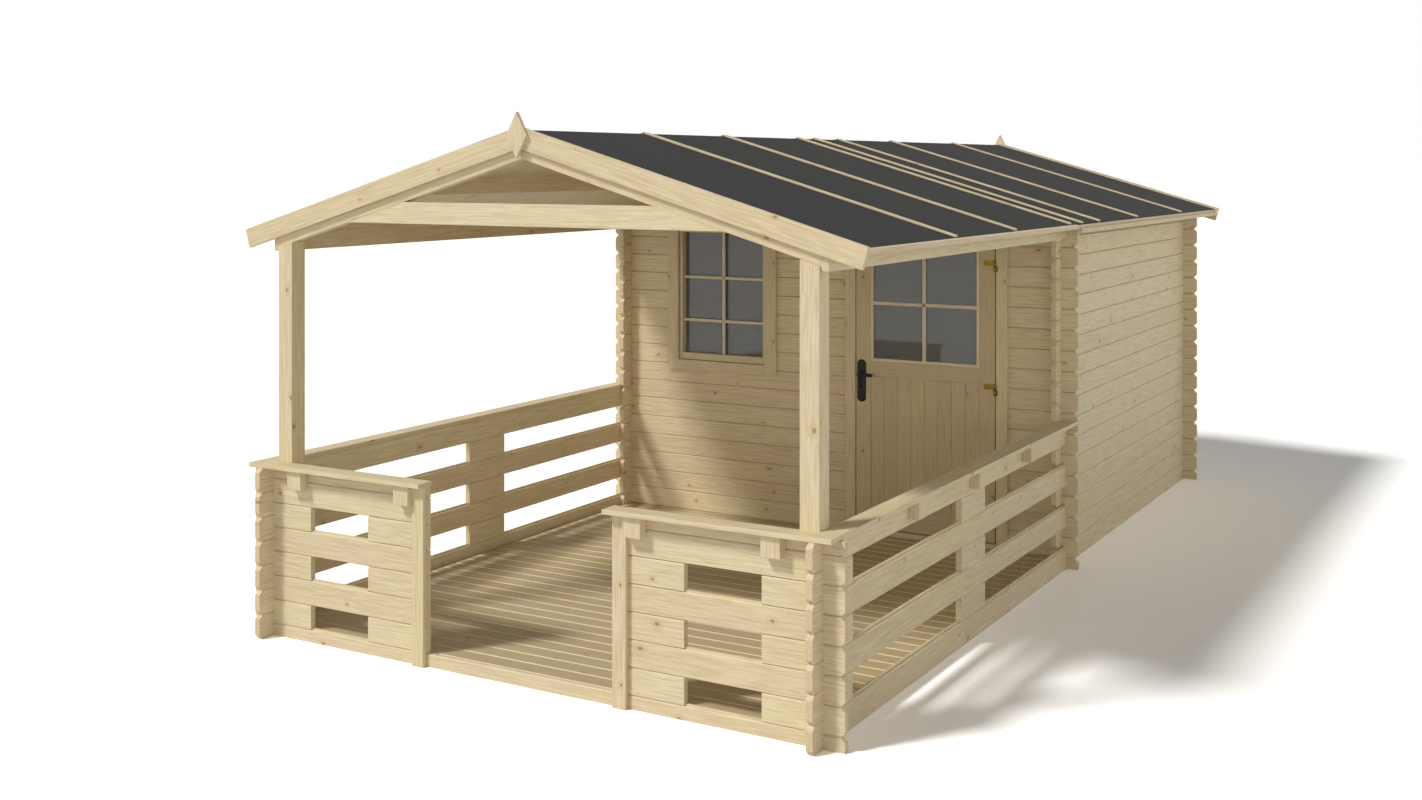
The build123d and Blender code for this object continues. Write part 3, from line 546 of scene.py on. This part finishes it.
veiled = add(felt_tree, "Mix", {0: veil.outputs[0], 6: grains.outputs[2], 7: linear("#383735")},
             data_type="RGBA")
felt_bump = add(felt_tree, "Bump", {"Height": grit.outputs[0], "Strength": 0.5, "Distance": 1.0 * MM})
feed(felt_tree, felt_shader, {"Base Color": veiled.outputs[2], "Normal": felt_bump.outputs[0],
                              "Roughness": 0.92, "Specular IOR Level": 0.2})
dress(("roof_felt_left", "roof_felt_right"), felt)
print("felt on", [name for name in nodes if name.startswith("roof_felt")])

# %% [markdown]
# Window glass is float glass: a clean, even reflection of the pale surroundings over a dim room.
# It is a little grey, and a film of dust, thicker in clouds, veils what lies behind it: that is the
# share of the light that isn't let through but scattered. A dark, glossy sheet would look alike from
# here, but glass that lets light through shows the real room from every side.

# %% Float glass
DUST_CLOUD = 120 * MM
FILM_RANGE = {"From Min": 0.3, "From Max": 0.7, "To Max": 0.02}
LET_THROUGH = 0.72
PANES = ("door_glass", "window_glass")
glass, glass_tree, glass_shader = new_material("float_glass")
pane_place = add(glass_tree, "TexCoord", {}).outputs["Object"]
dust = add(glass_tree, "TexNoise", {"Vector": pane_place, "Scale": 1 / DUST_CLOUD, "Detail": 4.0})
film = add(glass_tree, "MapRange", {"Value": dust.outputs[0], **FILM_RANGE})
grey = add(glass_tree, "Mix", {0: dust.outputs[0], 6: linear("#b2b3b0"), 7: linear("#a8a9a6")},
           data_type="RGBA")
feed(glass_tree, glass_shader, {"Base Color": grey.outputs[2], "Roughness": film.outputs[0],
                                "Transmission Weight": LET_THROUGH, "IOR": 1.52})
dress(PANES, glass)
print("glass in", PANES)

# %% [markdown]
# The door leaf is joinery: two stiles the full height, three rails between them, and a panel of
# narrow upright boards with V joints in the lower half. Its solid in the frame is one flat slab,
# so it is replaced by these members, each a prism with soft edges, the panel set back a little.

# %% Door leaf
BEAD = 16 * MM
BOTTOM_RAIL = 130 * MM
MIDDLE_RAIL = 88 * MM
PANEL_BOARDS = 8
PANEL_SETBACK = 4 * MM
PANEL_JOINT = 0.6 * MM
LEAF_ARRIS, PANEL_ARRIS = 1.5 * MM, 2 * MM
DOOR_TONE = ("#d8cca7", "#d2c397", "#cfbc9a")
leaf_low, leaf_high = np.array(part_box("door_leaf"))
pane_low, pane_high = np.array(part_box("door_glass"))
leaf_y = (leaf_low[1] + leaf_high[1]) / 2
leaf_depth = leaf_high[1] - leaf_low[1]
STILE = pane_low[0] - leaf_low[0] - BEAD


def uprights(xs, width, y, depth, low, high, bevel):
    """Upright members: outlines in X and Y, all of one width, carried from low to high."""
    xs = np.atleast_1d(np.asarray(xs, float))
    outline = board_outline(width, depth, bevel, bevel)
    starts = np.stack([xs, np.full(len(xs), y), np.full(len(xs), low)], 1)
    ends = starts + [0, 0, high - low]
    return prisms(outline, starts, ends, X_AXIS, Y_AXIS)


def crosspieces(zs, height, y, depth, left, right, bevel):
    """Level members: outlines in Y and Z, all of one height, carried from left to right."""
    zs = np.atleast_1d(np.asarray(zs, float))
    outline = board_outline(depth, height, bevel, bevel)
    starts = np.stack([np.full(len(zs), left), np.full(len(zs), y), zs], 1)
    ends = starts + [right - left, 0, 0]
    return prisms(outline, starts, ends, Y_AXIS, Z_AXIS)


stile_xs = (leaf_low[0] + STILE / 2, leaf_high[0] - STILE / 2)
panel_left, panel_right = leaf_low[0] + STILE, leaf_high[0] - STILE
panel_low, panel_high = leaf_low[2] + BOTTOM_RAIL, pane_low[2] - BEAD - MIDDLE_RAIL
panel_pitch = (panel_right - panel_left) / PANEL_BOARDS
panel_xs = panel_left + (np.arange(PANEL_BOARDS) + 0.5) * panel_pitch
panel_depth = leaf_depth - 2 * PANEL_SETBACK
upright_parts = [
    uprights(stile_xs, STILE, leaf_y, leaf_depth, leaf_low[2], leaf_high[2], LEAF_ARRIS),
    uprights(panel_xs, panel_pitch - PANEL_JOINT, leaf_y, panel_depth, panel_low, panel_high, PANEL_ARRIS),
]
DOOR_UPRIGHT = spruce("spruce_door_uprights", "Z", (panel_pitch, 0, 0), (-panel_left, 0, 0), tone=DOOR_TONE)
DOOR_RAIL = spruce("spruce_door_rails", "X", (0, 0, 0.45), tone=DOOR_TONE)
piece("door_stiles_and_boards", joined(upright_parts), DOOR_UPRIGHT, "door", stands_for=("door_leaf",))
TOP_RAIL = leaf_high[2] - pane_high[2] - BEAD
door_rails = (
    (leaf_high[2] - TOP_RAIL / 2, TOP_RAIL),
    (panel_high + MIDDLE_RAIL / 2, MIDDLE_RAIL),
    (leaf_low[2] + BOTTOM_RAIL / 2, BOTTOM_RAIL),
)
rail_parts = [crosspieces(z, height, leaf_y, leaf_depth, panel_left, panel_right, LEAF_ARRIS)
              for z, height in door_rails]
piece("door_rails", joined(rail_parts), DOOR_RAIL, "door")
print(f"door panel boards {panel_pitch * 1000:.0f} mm wide, top rail {TOP_RAIL * 1000:.0f} mm")

# %% [markdown]
# The panes are divided by slim glazing bars. On the door they lie on the glass, on both faces, and
# thin beads hold the pane all round. On the window they stand a little in front of the glass.

# %% Glazing bars of the door
BAR = 20 * MM
BEAD_PROUD = 2 * MM
BEAD_BEVEL, BAR_BEVEL = 4 * MM, 2.5 * MM
pane_x = (pane_low[0] + pane_high[0]) / 2
pane_z = (pane_low[2] + pane_high[2]) / 2
bead_depth = leaf_depth + 2 * BEAD_PROUD
bead_xs = (pane_low[0] - BEAD / 2, pane_high[0] + BEAD / 2)
bead_zs = (pane_low[2] - BEAD / 2, pane_high[2] + BEAD / 2)
upright_bars = [uprights(bead_xs, BEAD, leaf_y, bead_depth, pane_low[2] - BEAD, pane_high[2] + BEAD,
                         BEAD_BEVEL)]
level_bars = [crosspieces(bead_zs, BEAD, leaf_y, bead_depth, pane_low[0], pane_high[0], BEAD_BEVEL)]
for face, pane in ((leaf_low[1], pane_low[1]), (leaf_high[1], pane_high[1])):
    bar_y, bar_depth = (face + pane) / 2, abs(pane - face)
    upright_bars.append(uprights(pane_x, BAR, bar_y, bar_depth, pane_low[2], pane_high[2], BAR_BEVEL))
    level_bars.append(crosspieces(pane_z, BAR, bar_y, bar_depth, pane_low[0], pane_high[0], BAR_BEVEL))
BAR_TONE = ("#f0e7cb", "#ebe0bd", "#e9dac0")
UPRIGHT_BAR = spruce("spruce_bars_upright", "Z", (0.3, 0, 0), tone=BAR_TONE)
LEVEL_BAR = spruce("spruce_bars_level", "X", (0, 0, 0.3), tone=BAR_TONE)
piece("door_bars_upright", joined(upright_bars), UPRIGHT_BAR, "door")
piece("door_bars_level", joined(level_bars), LEVEL_BAR, "door")
print("door pane", np.round((pane_high - pane_low) * 1000), "mm")

# %% [markdown]
# The window is a lining in the wall with flat trim boards over its edge: two uprights the full
# height with the sill board and head board between them. They are prisms as well, so that their
# joints show.

# %% Window frame
LINING = 29 * MM
TRIM_ARRIS, LINING_ARRIS = 2 * MM, 1.5 * MM
WINDOW_TONE = ("#e4d9b4", "#ded0a4", "#dacaa9")
trim_low, trim_high = np.array(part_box("window_frame"))
sash_low, sash_high = np.array(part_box("window_sash"))
wall_face = float(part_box("front_wall_left")[0].y)
trim_y, trim_depth = (trim_low[1] + wall_face) / 2, wall_face - trim_low[1]
trim_width = sash_low[0] - trim_low[0]
lining_y, lining_depth = (wall_face + trim_high[1]) / 2, trim_high[1] - wall_face
WINDOW_UPRIGHT = spruce("spruce_window_uprights", "Z", (0.08, 0, 0), tone=WINDOW_TONE)
WINDOW_RAIL = spruce("spruce_window_rails", "X", (0, 0, 0.3), tone=WINDOW_TONE)
trim_xs = (trim_low[0] + trim_width / 2, trim_high[0] - trim_width / 2)
lining_xs = (sash_low[0] - LINING / 2, sash_high[0] + LINING / 2)
lining_zs = (sash_low[2] - LINING / 2, sash_high[2] + LINING / 2)
lining_foot, lining_top = sash_low[2] - LINING, sash_high[2] + LINING
sill_height, head_height = sash_low[2] - trim_low[2], trim_high[2] - sash_high[2]
sill_z, head_z = trim_low[2] + sill_height / 2, trim_high[2] - head_height / 2
inside = (sash_low[0], sash_high[0])
frame_uprights = [
    uprights(trim_xs, trim_width, trim_y, trim_depth, trim_low[2], trim_high[2], TRIM_ARRIS),
    uprights(lining_xs, LINING, lining_y, lining_depth, lining_foot, lining_top, LINING_ARRIS),
]
frame_rails = [
    crosspieces(sill_z, sill_height, trim_y, trim_depth, *inside, TRIM_ARRIS),
    crosspieces(head_z, head_height, trim_y, trim_depth, *inside, TRIM_ARRIS),
    crosspieces(lining_zs, LINING, lining_y, lining_depth, *inside, LINING_ARRIS),
]
piece("window_uprights", joined(frame_uprights), WINDOW_UPRIGHT, stands_for=("window_frame",))
piece("window_sill_and_head", joined(frame_rails), WINDOW_RAIL)
print("window trim", np.round((trim_high - trim_low) * 1000), "mm")

# %% [markdown]
# In the lining sits the sash, with a small gap all round: two stiles, two rails, one upright bar and
# two level ones. The bars are set back from its face, and the lowest row of panes is the shortest.

# %% Sash and its bars
WINDOW_BAR = 17 * MM
BAR_SETBACK = 18 * MM
BAR_DEPTH = 15.5 * MM
BAR_SHARES = np.array([0.272, 0.627])
SASH_GAP = 2.5 * MM
wpane_low, wpane_high = np.array(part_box("window_glass"))
sash_y, sash_depth = (sash_low[1] + sash_high[1]) / 2, sash_high[1] - sash_low[1]
bar_y = sash_low[1] + BAR_SETBACK + BAR_DEPTH / 2
bar_zs = wpane_low[2] + BAR_SHARES * (wpane_high[2] - wpane_low[2])
window_x = (sash_low[0] + sash_high[0]) / 2
stile = wpane_low[0] - sash_low[0] - SASH_GAP
sash_xs = (wpane_low[0] - stile / 2, wpane_high[0] + stile / 2)
sash_foot, sash_top = sash_low[2] + SASH_GAP, sash_high[2] - SASH_GAP
bottom_rail, top_rail = wpane_low[2] - sash_foot, sash_top - wpane_high[2]
within = (wpane_low[0], wpane_high[0])
stiles = uprights(sash_xs, stile, sash_y, sash_depth, sash_foot, sash_top, TRIM_ARRIS)
sash_rails = [
    crosspieces(sash_foot + bottom_rail / 2, bottom_rail, sash_y, sash_depth, *within, TRIM_ARRIS),
    crosspieces(sash_top - top_rail / 2, top_rail, sash_y, sash_depth, *within, TRIM_ARRIS),
]
piece("sash_stiles", stiles, WINDOW_UPRIGHT, stands_for=("window_sash",))
piece("sash_rails", joined(sash_rails), WINDOW_RAIL)
upright_bar = uprights(window_x, WINDOW_BAR, bar_y, BAR_DEPTH, wpane_low[2], wpane_high[2], BAR_BEVEL)
level_bars = crosspieces(bar_zs, WINDOW_BAR, bar_y, BAR_DEPTH, *within, BAR_BEVEL)
piece("window_bars_upright", upright_bar, UPRIGHT_BAR)
piece("window_bars_level", level_bars, LEVEL_BAR)
print("window pane", np.round((wpane_high - wpane_low) * 1000), "mm")

# %% [markdown]
# The hinges are brass with a satin face that has dulled in patches, so its colour and its gloss
# follow one slow noise. Brass is a metal: its colour is in the reflection.

# %% Satin brass
TARNISH = 14 * MM
brass, brass_tree, brass_shader = new_material("brass_satin")
brass_place = add(brass_tree, "TexCoord", {}).outputs["Object"]
tarnish = add(brass_tree, "TexNoise", {"Vector": brass_place, "Scale": 1 / TARNISH, "Detail": 4.0})
aged = add(brass_tree, "MapRange", {"Value": tarnish.outputs[0], "From Min": 0.4, "From Max": 0.7})
metal = add(brass_tree, "Mix", {0: aged.outputs[0], 6: linear("#957630"), 7: linear("#755a22")},
            data_type="RGBA")
worn = add(brass_tree, "MapRange", {"Value": tarnish.outputs[0], "To Min": 0.28, "To Max": 0.48})
feed(brass_tree, brass_shader, {"Base Color": metal.outputs[2], "Roughness": worn.outputs[0],
                                "Metallic": 1.0})
print("brass, tarnished in patches of", TARNISH, "m")

# %% [markdown]
# Each hinge is a barrel in two halves with a flag-shaped plate. Barrels and screw heads are turned
# shapes: a profile of radius against height, carried once round an axis, as on a lathe. The upper
# half and its plate move with the door, the lower half stays on the jamb.

# %% Hinges
HINGES = 3
BARREL_HALF = 31.5 * MM
BARREL_GAP = 0.5 * MM
BARREL_CAP = 1.5 * MM
PLATE_HEIGHT = 30 * MM
PLATE = 3 * MM
PLATE_CORNER = 4 * MM
SCREW = 4.2 * MM
SCREW_SIDES = 16
SCREW_PLACES = np.array([10, 30]) * MM


def turned(profile, centres, axis, around, count=24):
    """A profile of (radius, height) rows turned round an axis at each centre: the point at angle a is
    centre + height * axis + radius * (cos a * around + sin a * axis x around)."""
    profile = np.asarray(profile, float)
    angles = np.arange(count) * math.tau / count
    across = np.cross(axis, around)
    ring = np.cos(angles)[:, None] * around + np.sin(angles)[:, None] * across
    spun = profile[:, 0, None, None] * ring[None] + profile[:, 1, None, None] * np.asarray(axis)[None, None]
    spun = np.asarray(centres)[:, None, None, :] + spun[None]
    rows = len(profile)
    starts = (np.arange(len(centres)) * rows * count)[:, None, None]
    first = starts + (np.arange(rows - 1) * count)[None, :, None]
    return shape_of(spun, strips(first, first + count, count))


strap_low, strap_high = np.array(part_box("door_hinge_straps"))
pins_low, pins_high = np.array(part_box("door_hinge_pins"))
hinge_x, hinge_y, _ = frame["joints"][0]["pos_m"]
barrel = strap_high[0] - hinge_x
barrel_top = BARREL_HALF + BARREL_GAP
hinge_zs = np.linspace(pins_low[2] + barrel_top, strap_high[2] - barrel_top, HINGES)
barrel_spots = np.stack([np.full(HINGES, hinge_x), np.full(HINGES, hinge_y), hinge_zs], 1)
upper = [(0, BARREL_GAP), (barrel - BARREL_CAP / 2, BARREL_GAP), (barrel, 2 * BARREL_GAP),
         (barrel, BARREL_HALF - BARREL_CAP), (barrel - BARREL_CAP, BARREL_HALF), (barrel / 2, barrel_top),
         (0, barrel_top)]
lower = [(radius, -height) for radius, height in upper][::-1]
plate_face = pins_high[1]
strap_left = strap_low[0]
strap_zs = hinge_zs + barrel_top - PLATE_HEIGHT / 2
screw_xs = strap_left + SCREW_PLACES
head = np.array([(1, -0.5), (1, 0.2), (0.7, 1.1), (0.3, 1.2), (0.25, 0.7), (0, 0.7)]) * (SCREW, MM)


def level_plates(left, right, zs, height):
    """Flat plates against the face of the door, their corners cut, standing out by their thickness."""
    outline = board_outline(right - left, height, PLATE_CORNER, PLATE_CORNER) + [(left + right) / 2, 0]
    starts = np.stack([np.zeros(len(zs)), np.full(len(zs), plate_face), zs], 1)
    return prisms(outline, starts, starts - [0, PLATE, 0], X_AXIS, Z_AXIS)


straps = level_plates(strap_left, hinge_x, strap_zs, PLATE_HEIGHT)
screw_spots = np.array([(x, plate_face - PLATE, z) for x in screw_xs for z in strap_zs])
strap_screws = turned(head, screw_spots, -Y_AXIS, X_AXIS, SCREW_SIDES)
strap_shape = joined([turned(upper, barrel_spots, Z_AXIS, X_AXIS), straps, strap_screws])
piece("hinge_straps", strap_shape, brass, "door", ("door_hinge_straps",), strap_shape[2] == 4)
jamb_plates = level_plates(hinge_x, pins_high[0], hinge_zs - BARREL_HALF / 2, BARREL_HALF - MM)
pin_shape = joined([turned(lower, barrel_spots, Z_AXIS, X_AXIS), jamb_plates])
piece("hinge_pins", pin_shape, brass, "cabin", ("door_hinge_pins",), pin_shape[2] == 4)
print("hinges at", np.round(hinge_zs, 3).tolist())

# %% [markdown]
# The handle is steel with a baked powder coat: black, half matt where it is new and glossier where
# hands have rubbed it, with the faint orange peel that melted powder leaves.

# %% Black powder coat
PEEL, RUBBED_PATCH = 2.5 * MM, 30 * MM
PEEL_DEPTH = 0.2 * MM
powder, powder_tree, powder_shader = new_material("black_powder_coat")
coat_place = add(powder_tree, "TexCoord", {}).outputs["Object"]
peel = add(powder_tree, "TexNoise", {"Vector": coat_place, "Scale": 1 / PEEL, "Detail": 2.0})
rubbed = add(powder_tree, "TexNoise", {"Vector": coat_place, "Scale": 1 / RUBBED_PATCH, "Detail": 3.0})
shade = add(powder_tree, "Mix", {0: rubbed.outputs[0], 6: linear("#15130f"), 7: linear("#26231d")},
            data_type="RGBA")
gloss = add(powder_tree, "MapRange", {"Value": rubbed.outputs[0], "To Min": 0.38, "To Max": 0.55})
orange = add(powder_tree, "Bump", {"Height": peel.outputs[0], "Strength": 0.15, "Distance": PEEL_DEPTH})
feed(powder_tree, powder_shader, {"Base Color": shade.outputs[2], "Roughness": gloss.outputs[0],
                                  "Normal": orange.outputs[0], "Specular IOR Level": 0.35})
print("powder coat, peel of", PEEL, "m")

# %% [markdown]
# On each side of the leaf lies a long plate with round ends and a softly domed face, with a keyhole
# below the lever. The dome is a profile whose rows shrink the rim and raise it. The keyhole is the
# same shape, smaller and nearly black, because no light comes back out of it.

# %% Handle plates and keyholes
DOME = np.array([(0.02, 1.0), (0.6, 1.0), (0.85, 0.95), (0.95, 0.78), (1.0, 0.45), (1.0, 0.0), (0.02, 0.0)])
KEYHOLE_DROP = 77 * MM
KEYHOLE_WIDTH, KEYHOLE_TALL, KEYHOLE_PROUD = 13 * MM, 21 * MM, 0.4 * MM
PITS_TO_A_METRE = 300.0


def round_ended(width, tall, depth, x, y, z, out, count=48):
    """A plate with half-round ends: the rim point at angle a is half the width * (cos a, sin a), its
    height moved out by the straight part, and each row of the dome scales the rim and raises it."""
    angles = np.arange(count) * math.tau / count
    straight = np.sign(np.sin(angles).round(6)) * (tall - width) / 2
    rim = np.stack([np.cos(angles) * width / 2, np.sin(angles) * width / 2 + straight], 1)
    flat = DOME[:, 0, None, None] * rim[None]
    rise = np.broadcast_to(DOME[:, 1, None] * depth * out, flat.shape[:2])
    points = np.stack([x + flat[..., 0], y + rise, z + flat[..., 1]], -1)
    first = (np.arange(len(DOME)) * count)[:, None]
    quads = strips(first, np.roll(first, -1, 0), count)
    return shape_of(points, quads[:, ::-1] if out > 0 else quads)


plates_low, plates_high = np.array(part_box("door_handle_plates"))
plate_width, _, plate_tall = plates_high - plates_low
plate_depth = leaf_low[1] - plates_low[1]
plate_x, _, plate_z = (plates_low + plates_high) / 2
lever_pos = frame["joints"][1]["pos_m"]
key_z = lever_pos[2] - KEYHOLE_DROP
key_depth = plate_depth + KEYHOLE_PROUD
faces = ((leaf_low[1], -1), (leaf_high[1], 1))
plate_parts = [round_ended(plate_width, plate_tall, plate_depth, plate_x, face, plate_z, out)
               for face, out in faces]
hole_parts = [round_ended(KEYHOLE_WIDTH, KEYHOLE_TALL, key_depth, plate_x, face, key_z, out)
              for face, out in faces]
piece("handle_plates", joined(plate_parts), powder, "door", ("door_handle_plates",), True)
keyhole, keyhole_tree, keyhole_shader = new_material("keyhole_shadow")
key_place = add(keyhole_tree, "TexCoord", {}).outputs["Object"]
pit = add(keyhole_tree, "TexNoise", {"Vector": key_place, "Scale": PITS_TO_A_METRE})
pit_colour = add(keyhole_tree, "Mix", {0: pit.outputs[0], 6: linear("#020202"), 7: linear("#080808")},
                 data_type="RGBA")
feed(keyhole_tree, keyhole_shader, {"Base Color": pit_colour.outputs[2], "Roughness": 0.9,
                                    "Specular IOR Level": 0.1})
piece("keyholes", joined(hole_parts), keyhole, "door")
print("handle plate", round(plate_width * 1000), "by", round(plate_tall * 1000), "mm")

# %% [markdown]
# Each lever is a flat bar with an oval section and rounded ends, standing off the plate on a round
# neck and running a little past it. Both are on one spindle, so they are one piece: two ovals
# carried along X and a turned rod through the leaf.

# %% Lever
NECK = 8 * MM
BAR_HALF = 10 * MM
BAR_THIN = 5.5 * MM
BAR_FULLNESS = 6
BAR_TIP = 0.0005
BAR_STEPS, BAR_SIDES = 25, 20
lever_low, lever_high = np.array(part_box("door_lever"))
lever_length = lever_high[0] - lever_pos[0]
stand_off = leaf_low[1] - lever_low[1] - BAR_THIN


def lever_bar(face, out):
    """An oval carried along X from s = -1 to 1: its half axes are scaled by the square root of 1 - s^6, so
    that the bar is full along its length and closes in a rounded point at both ends."""
    share = np.sin(np.linspace(-math.pi / 2, math.pi / 2, BAR_STEPS))
    full = np.maximum(np.sqrt(1 - share ** BAR_FULLNESS), BAR_TIP)
    xs = lever_pos[0] + (lever_length - BAR_HALF) / 2 + share * (lever_length + BAR_HALF) / 2
    angles = np.arange(BAR_SIDES) * math.tau / BAR_SIDES
    deep = full[:, None] * np.cos(angles) * BAR_THIN
    tall = full[:, None] * np.sin(angles) * BAR_HALF
    along = np.broadcast_to(xs[:, None], deep.shape)
    points = np.stack([along, face + out * stand_off + deep, lever_pos[2] + tall], -1)
    first = (np.arange(BAR_STEPS - 1) * BAR_SIDES)[:, None]
    return shape_of(points, strips(first, first + BAR_SIDES, BAR_SIDES))


rod_length = leaf_depth + 2 * stand_off
rod = [(0, 0), (NECK, 0), (NECK, rod_length), (0, rod_length)]
rod_foot = np.array([[lever_pos[0], leaf_low[1] - stand_off, lever_pos[2]]])
rod_shape = turned(rod, rod_foot, Y_AXIS, Z_AXIS)
levers = joined([*(lever_bar(face, out) for face, out in faces), rod_shape])
piece("lever_handles", levers, powder, "lever", ("door_lever",), True)
print("lever length", round(lever_length * 1000), "mm")

# %% [markdown]
# The stage is a white floor that runs on under a white sky. It throws light back up as white paper
# does. To the camera, and in glass and metal, its colour is raised until the lit floor is as white
# as the sky behind it, while the shadow of the building stays on it.

# %% Floor
FLOOR_SEEN = 1.55
FLOOR_BOUNCE = 0.72
STAGE = 120.0
STAGE_DROP = 0.5 * MM
paper, paper_tree, _ = new_material("white_paper_floor")


def in_view(tree):
    """One for rays from the camera and for those that a mirror or a pane has sent on, else nought."""
    rays = add(tree, "LightPath", {})
    passed = add(tree, "Math", {0: rays.outputs["Is Glossy Ray"], 1: rays.outputs["Is Transmission Ray"]},
                 operation="MAXIMUM")
    seen = add(tree, "Math", {0: passed.outputs[0], 1: rays.outputs["Is Camera Ray"]}, operation="MAXIMUM")
    return seen.outputs[0]


paper_white = add(paper_tree, "MapRange", {"Value": in_view(paper_tree), "To Min": FLOOR_BOUNCE,
                                           "To Max": FLOOR_SEEN})
matte = add(paper_tree, "BsdfDiffuse", {"Color": paper_white.outputs[0]})
feed(paper_tree, paper_tree.nodes["Material Output"], {"Surface": matte.outputs[0]})
corners = np.array([(-1, -1), (1, -1), (1, 1), (-1, 1)]) * STAGE
stage_mesh = bpy.data.meshes.new("stage_floor")
stage_mesh.from_pydata([(x, y, -STAGE_DROP) for x, y in corners.tolist()], [], [(0, 1, 2, 3)])
stage_mesh.materials.append(paper)
stage = placed("stage_floor", stage_mesh)
print("floor", 2 * STAGE, "m square")

# %% [markdown]
# The sky fills in the shadows: bright at the horizon and dark overhead, as in a studio with pale
# walls and a dark ceiling, so that upright faces come out lighter than level ones, and a little
# brighter on the right, as if a large screen stood on the side away from the sun. The camera, the
# glass and the metal see it as plain white.

# %% Sky
HORIZON = 1.42
FALL_OFF = 2.0
LEAN = 0.2
world = bpy.data.worlds.new("white_sky")
bpy.context.scene.world = world
world.use_nodes = True
sky = world.node_tree
heading = add(sky, "SeparateXYZ", {0: add(sky, "TexCoord", {}).outputs["Generated"]})
low = add(sky, "MapRange", {"Value": heading.outputs[2], "To Min": 1.0, "To Max": 0.0})
faded = add(sky, "Math", {0: low.outputs[0], 1: FALL_OFF}, operation="POWER")
lean = add(sky, "Math", {0: heading.outputs[0], 1: LEAN, 2: 1.0}, operation="MULTIPLY_ADD")
level = add(sky, "Math", {0: lean.outputs[0], 1: HORIZON}, operation="MULTIPLY")
fill = add(sky, "Math", {0: faded.outputs[0], 1: level.outputs[0]}, operation="MULTIPLY")
strength = add(sky, "Mix", {0: in_view(sky), 2: fill.outputs[0], 3: 1.0}, data_type="FLOAT")
feed(sky, sky.nodes["Background"], {"Color": (1, 1, 1, 1), "Strength": strength.outputs[0]})
print("sky: horizon", HORIZON, "lean", LEAN)

# %% [markdown]
# A broad sun stands behind the camera's left shoulder, about half as high as overhead, and is ten
# degrees wide, so that shadows are sharp where they start and soften as they go. A sun lamp is
# chosen over an area lamp because its light is as strong at the back of the building as in front.

# %% Sun
SUN = 0.71
SUN_WIDTH = math.radians(10)
SUN_FALL = np.array([1.010, 1.390, -1.882])
sun_data = bpy.data.lights.new("sun", "SUN")
sun_data.energy = SUN * math.pi
sun_data.angle = SUN_WIDTH
sun_data.color = (1.0, 0.99, 0.97)
sun = placed("sun", sun_data)
fall = SUN_FALL / np.linalg.norm(SUN_FALL)
sun.rotation_euler = (math.acos(-fall[2]), 0, math.atan2(-fall[0], fall[1]))
bpy.context.scene.view_settings.view_transform = "Standard"
print(f"sun height {math.degrees(math.asin(-fall[2])):.1f} degrees")

# %% [markdown]
# The camera stands level, as for a picture of a building, so that uprights stay upright; the frame
# is moved down with the lens shift instead of tilting. Its place and focal length were found from
# the corners of the building in the picture.

# %% Camera
IMAGE_WIDTH, IMAGE_HEIGHT = 1422, 800
FOCAL_PIXELS = 1554.4
HORIZON_ROW = 164.5
YAW = math.radians(30.05)
EYE = (3.9718, -8.1797, 2.1846)
camera_data = bpy.data.cameras.new("camera")
camera_data.sensor_width = 36.0
camera_data.lens = camera_data.sensor_width * FOCAL_PIXELS / IMAGE_WIDTH
camera_data.shift_y = -(IMAGE_HEIGHT / 2 - HORIZON_ROW) / IMAGE_WIDTH
camera_data.clip_end = 500.0
camera = placed("camera", camera_data)
camera.location = EYE
camera.rotation_euler = (math.pi / 2, 0, YAW)
bpy.context.scene.camera = camera
print(f"lens {camera_data.lens:.2f} mm, shift {camera_data.shift_y:.4f}")

# %% [markdown]
# Last, the scene is brought up to date. Dressing may not change the building's size.

# %% Finish
bpy.context.view_layer.update()
